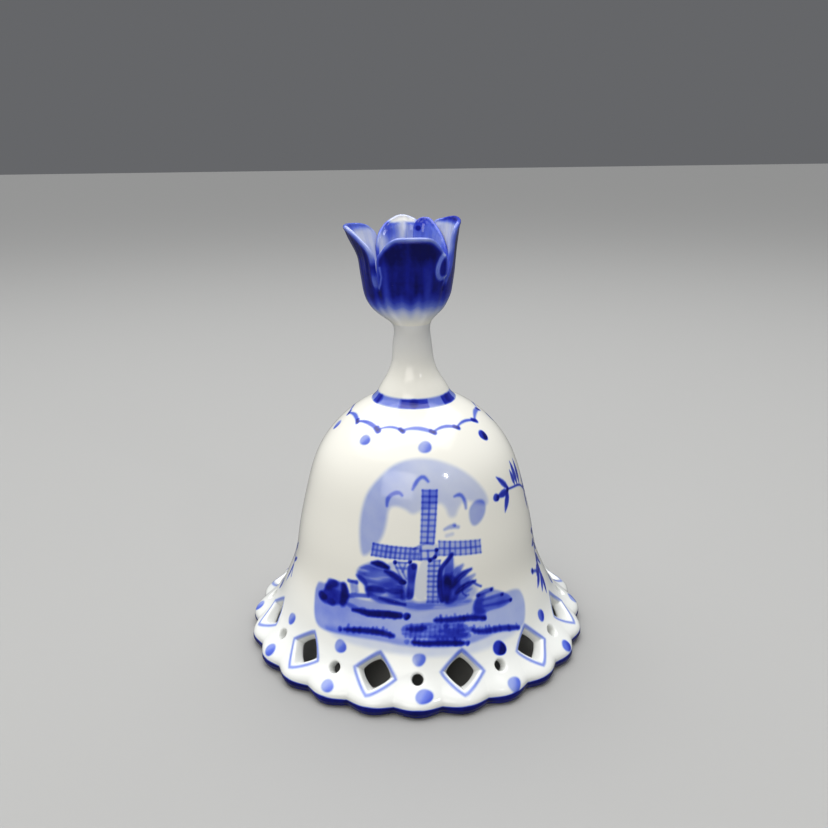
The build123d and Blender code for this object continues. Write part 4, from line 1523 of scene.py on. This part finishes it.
# The height where an inner face grows darker towards its tip, with the density it gains, and
# the share of the cobalt that a pale lip lacks outside, with its height. The functions below
# give the values of the other petals.
DARK_TIPS = {"petal_left": (99.6, 0.3), "petal_right": (101.0, 0.62), "petal_back_left": (100.2, 0.2)}
# The pale lips are partly thinner cobalt on the rolled edges and partly painted highlight.
PALE_LIPS = {"petal_front": (0.44, 97.4), "petal_left": (0.3, 94.5)}


def petal_outside(name, azimuth, height, edge):
    """Cobalt on the outer face of a petal, with painted highlights near its edges; edge is the distance
    from its free edge in mm.
    """
    body = tulip_outside(azimuth, height)
    # The pale lip is partly thinner cobalt on the rolled edge and partly a painted highlight.
    share, level = PALE_LIPS.get(name, (0.12, 96.0))
    pale = hump(edge, 0.6) * smoothstep(level - 1.5, level + 0.6, height)
    # Painted highlight: a thin pale line along the free edges, down into the slits between the petals.
    start = 92.5 if name == "petal_left" else 87.8
    edge_highlight = 0.3 * hump(edge, 0.3) * smoothstep(start, start + 1.2, height)
    patchy = 0.85 + 0.25 * ripple(round_the_tulip(azimuth, TULIP_RADIUS), height, 3.5, 37)
    body = body * (1 - share * patchy * pale) * (1 - edge_highlight)
    if name == "petal_front":
        # Painted highlight: a pale line round the folded flap, partly paler glaze on the curl.
        distance = front_flap(azimuth, height)[1]
        body = body * (1 - 0.5 * hump(distance - 0.15, 0.35) * (azimuth < 50))
    return body


def petal_inside(name, azimuth, height, edge):
    """Cobalt on the inner face of a petal: a light wash with darker streaks and tip, and painted
    highlights on two petals.
    """
    streaks = tulip_streaks(azimuth * 1.3, height, 61)
    clouds = ripple(round_the_tulip(azimuth, PETAL_MARK_RADIUS), height, 8.0, 63)
    body = INSIDE_WASH[name] + 0.04 * streaks + 0.06 * clouds
    start, dark = DARK_TIPS.get(name, (100.0, 0.15))
    body = body + dark * smoothstep(start - 0.8, start + 0.8, height)
    if name == "petal_left":
        # Painted highlight: a white band along the rolled near edge of the left petal.
        painted_highlight = hump(edge - 0.4, 0.55) * (azimuth > -80)
        painted_highlight = painted_highlight * (0.25 + 0.75 * smoothstep(92.5, 94.5, height))
        body = body * (1 - 0.85 * painted_highlight)
    if name == "petal_back_left":
        # Painted highlights: a white cap along the rim and a pale upright stripe in the middle.
        painted_highlight = np.exp(-((edge / 1.15) ** 4)) * smoothstep(100.1, 100.9, height)
        highlight_stripe = hump(wrapped(azimuth - 186.0), 4.5) * smoothstep(95, 98, height)
        pool = 0.2 * hump(wrapped(azimuth - 206.0), 9.0) * smoothstep(96.5, 99, height)
        pool = pool - 0.16 * hump(wrapped(azimuth - 218.0), 8.0) * smoothstep(99, 96, height)
        body = (body + pool) * (1 - 0.97 * painted_highlight) * (1 - 0.6 * highlight_stripe)
    if name == "petal_back_right":
        spot = np.hypot(wrapped(azimuth - 163.0) * 0.19, (height - 99.2) / 0.7)
        body = body + 0.55 * smoothstep(1.2, 0.2, spot)
    return np.clip(body, 0.02, 0.9)


def border_rows(outer, inner, degrees):
    """Rows that round the free edge between the outer and inner faces of a petal."""
    middle = (outer + inner) / 2
    half = (outer - inner) / 2
    along = np.gradient(middle, axis=0)
    away = np.cross(half, along)
    away /= np.linalg.norm(away, axis=1, keepdims=True)
    thickness = np.linalg.norm(half, axis=1, keepdims=True)
    turns = [math.radians(step) for step in degrees]
    return [middle + half * math.cos(t) + away * thickness * math.sin(t) for t in turns]


def petal_grid(outline):
    """Rows of azimuths and heights that run from one side of the outline to the other."""
    scale = math.radians(TULIP_RADIUS)
    dense, _ = line_through(np.array(outline) * [scale, 1], 0.1)
    run = np.gradient(dense, axis=0)
    run /= np.linalg.norm(run, axis=1, keepdims=True)
    dense = dense + EDGE_ROUNDING * np.column_stack([run[:, 1], -run[:, 0]])
    dense[:, 1] = np.maximum(dense[:, 1], CUP_RIM)
    tip = int(np.argmax(dense[:, 1]))
    pace = np.sin(np.linspace(0, math.pi / 2, PETAL_ROWS)) * 0.97
    places = np.arange(len(dense))
    rising = np.stack(read_line(dense, places, pace * tip), axis=1)
    back = len(dense) - 1 - pace * (len(dense) - 1 - tip)
    falling = np.stack(read_line(dense, places, back), axis=1)
    across = np.linspace(0, 1, PETAL_COLUMNS)[None, :, None]
    grid = rising[:, None, :] * (1 - across) + falling[:, None, :] * across
    return grid[..., 0] / scale, grid[..., 1], dense / [scale, 1]


# Steps round the free edge of a petal, in degrees from its outer face.
EDGE_TURNS = (25, 50, 75, 105, 130, 155)
# The rounded edge keeps the cobalt of the outer face below the first height and takes on that
# of the inner face above the second, so the low edges in the furrows stay dark, partly as painted shade.
EDGE_COBALT_FADE = (93.5, 96.0)
PETAL_SHARP_ANGLE = 60


def build_petal(name, plan):
    """One petal: two faces over a curved outline, with a rounded free edge."""
    azimuth, height, outline = petal_grid(plan["outline"])
    profile = np.array(plan["profile"])
    top = profile[-1, 0]
    radius = natural_spline(profile[:, 0], profile[:, 1], np.minimum(height, top))
    free = (height - CUP_RIM) / (top - CUP_RIM)
    centre, width, amount, start = plan["flare"]
    radius = radius + amount * hump(azimuth - centre, width) * smoothstep(start, top, height)
    edge = outline_distance(azimuth, height, outline)
    radius = radius + 0.22 * hump(edge, 0.7) * smoothstep(0.08, 0.2, free)
    radius = radius + 0.07 * ripple(azimuth * 0.18, height * 0.12, 1.8, 71) * smoothstep(0.05, 0.4, free)
    radius = radius - cleft_depth(azimuth) * (1 - smoothstep(0, 0.12, free))
    if name == "petal_front":
        radius = radius + 0.42 * front_flap(azimuth, height)[0]
    thick = plan["thick"][0] + (plan["thick"][1] - plan["thick"][0]) * free
    outer = around(radius, azimuth, height, TULIP_OFFSET)
    inner = around(radius - thick, azimuth, height, TULIP_OFFSET)
    rows, columns = azimuth.shape
    total = rows * columns
    numbers = np.arange(total).reshape(rows, columns)
    rim = np.concatenate([numbers[:, 0], numbers[-1, 1:-1], numbers[::-1, -1]])
    flat_outer = outer.reshape(-1, 3)
    flat_inner = inner.reshape(-1, 3)
    rings = border_rows(flat_outer[rim], flat_inner[rim], EDGE_TURNS)
    points = np.concatenate([flat_outer, flat_inner, *rings])
    quads = [grid_quads(rows, columns), grid_quads(rows, columns, start=total)]
    chain = [rim] + [2 * total + i * len(rim) + np.arange(len(rim)) for i in range(len(rings))]
    chain.append(rim + total)
    for here, there in zip(chain[:-1], chain[1:]):
        quads.append(np.stack([here[:-1], here[1:], there[1:], there[:-1]], axis=1))
    foot = numbers[0]
    quads.append(np.stack([foot[:-1], foot[1:], foot[1:] + total, foot[:-1] + total], axis=1))
    outside = petal_outside(name, azimuth, height, edge).ravel()
    inside = petal_inside(name, azimuth, height, edge).ravel()
    shares = [turn / 180 for turn in EDGE_TURNS]
    low = 1 - smoothstep(*EDGE_COBALT_FADE, height.ravel()[rim])
    inner_rim = inside[rim] * (1 - low) + outside[rim] * low
    rounds = [outside[rim] * (1 - k) + inner_rim * k for k in shares]
    cobalt = np.concatenate([outside, inside, *rounds])
    ends = [[int(ring[0]) for ring in chain], [int(ring[-1]) for ring in chain]]
    piece = build_mesh(name + "_glazed", points, np.concatenate(quads), {"cobalt": cobalt}, ends)
    piece.data.set_sharp_from_angle(angle=math.radians(PETAL_SHARP_ANGLE))
    return piece


# ---- pieces in place ----------------------------------------------------------------------
def build_shell():
    """The pierced bell with its painting."""
    wall = Wall()
    shell = ShellMesh(wall)
    points, quads, azimuth, along = shell.arrays()
    outside = np.flatnonzero(along >= 0)
    radius = wall.outer_at(along[outside])[0]
    brush = Brush(azimuth[outside], along[outside], radius, wall.along_at, seed=11)
    paint_shell(brush)
    density = np.zeros(len(points))
    density[outside] = brush.density
    return build_mesh("bell_shell_glazed", points, quads, {"cobalt": density})


def coat_cad(nodes, material):
    """Gives carried-over CAD nodes a finished material."""
    for node in nodes:
        coat(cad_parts[node], material)


glaze = painted_porcelain("painted_porcelain")
finish_piece(build_shell(), "bell", ["bell_shell"], glaze)
finish_piece(build_stem(), "bell", ["handle_stem"], glaze)
finish_piece(build_cup(), "bell", ["tulip_cup"], glaze)
for petal, table in PETALS.items():
    finish_piece(build_petal(petal, table), "bell", [petal], glaze)

coat_cad(["hanger_bush", "hanger_washer"], brass("turned_brass", 700.0, (0.30, 0.19, 0.08)))
coat_cad(["hanger_pin", "clapper_wire"], brass("drawn_brass", 1500.0, (0.34, 0.22, 0.10)))
coat_cad(["upper_crimp", "lower_crimp"], brass("crimped_brass", 1000.0, (0.26, 0.16, 0.07)))
coat_cad(["clapper_bead"], bead_porcelain("bead_porcelain"))


# ---- stage --------------------------------------------------------------------------------
def build_floor():
    """A wide, pale and matt floor."""
    mesh = bpy.data.meshes.new("floor")
    side = 3.0
    mesh.from_pydata([(-side, -side, 0), (side, -side, 0), (side, side, 0), (-side, side, 0)], [],
                     [(0, 1, 2, 3)])
    floor = bpy.data.objects.new("floor", mesh)
    bpy.context.scene.collection.objects.link(floor)
    nodes = Nodes("pale_floor")
    nodes.set(Base_Color=(0.30, 0.30, 0.295, 1), Roughness=0.75)
    mesh.materials.append(nodes.material)
    floor.visible_glossy = False


def area_light(name, place, target, size, power, colour=(1, 1, 1)):
    """A flat lamp of (width, height) in metres that faces its target."""
    light = bpy.data.lights.new(name, "AREA")
    light.shape = "RECTANGLE"
    light.size, light.size_y = size
    light.energy = power
    light.color = colour
    lamp = bpy.data.objects.new(name, light)
    bpy.context.scene.collection.objects.link(lamp)
    lamp.location = place
    direction = Vector(target) - Vector(place)
    lamp.rotation_euler = direction.to_track_quat("-Z", "Y").to_euler()
    return lamp


def light_scene():
    """Soft light from above and from the front, with one small lamp for the sparkle."""
    world = bpy.data.worlds.new("studio")
    bpy.context.scene.world = world
    world.use_nodes = True
    world.node_tree.nodes["Background"].inputs["Color"].default_value = (0.93, 0.95, 1.0, 1)
    world.node_tree.nodes["Background"].inputs["Strength"].default_value = 0.14
    area_light("overhead", (0.0, 0.12, 0.62), (0, 0, 0.04), (0.9, 0.7), 4.6)
    spark = area_light("small_lamp", (0.185, -0.235, 0.235), (0, 0, 0.05), (0.026, 0.026), 0.07)
    spark.data.shape = "ELLIPSE"
    sky = bpy.data.lights.new("ceiling", "SUN")
    sky.angle = math.radians(90.0)
    sky.energy = 2.4
    ceiling = bpy.data.objects.new("ceiling", sky)
    bpy.context.scene.collection.objects.link(ceiling)
    ceiling.rotation_euler = (math.radians(-12.0), math.radians(-10.0), 0.0)
    area_light("front_fill", (-0.25, -0.7, 0.45), (0, 0, 0.05), (0.5, 0.4), 2.2, (1.0, 0.96, 0.89))
    bpy.context.scene.view_settings.view_transform = "Standard"


CAMERA_PLACE = (0.0, -0.1957, 0.1203)
CAMERA_PITCH = 18.22
CAMERA_ROLL = -0.78
FOCAL_LENGTH = 36.96


def place_camera():
    """The view of the bell at rest, a little from above."""
    camera = bpy.data.cameras.new("photo_view")
    camera.lens = FOCAL_LENGTH
    camera.sensor_width = 36.0
    camera.clip_start = 0.01
    rig = bpy.data.objects.new("photo_view", camera)
    bpy.context.scene.collection.objects.link(rig)
    tilt = Matrix.Rotation(math.radians(90 - CAMERA_PITCH), 4, "X")
    roll = Matrix.Rotation(math.radians(CAMERA_ROLL), 4, "Z")
    rig.matrix_world = Matrix.Translation(CAMERA_PLACE) @ tilt @ roll
    bpy.context.scene.camera = rig


build_floor()
light_scene()
place_camera()
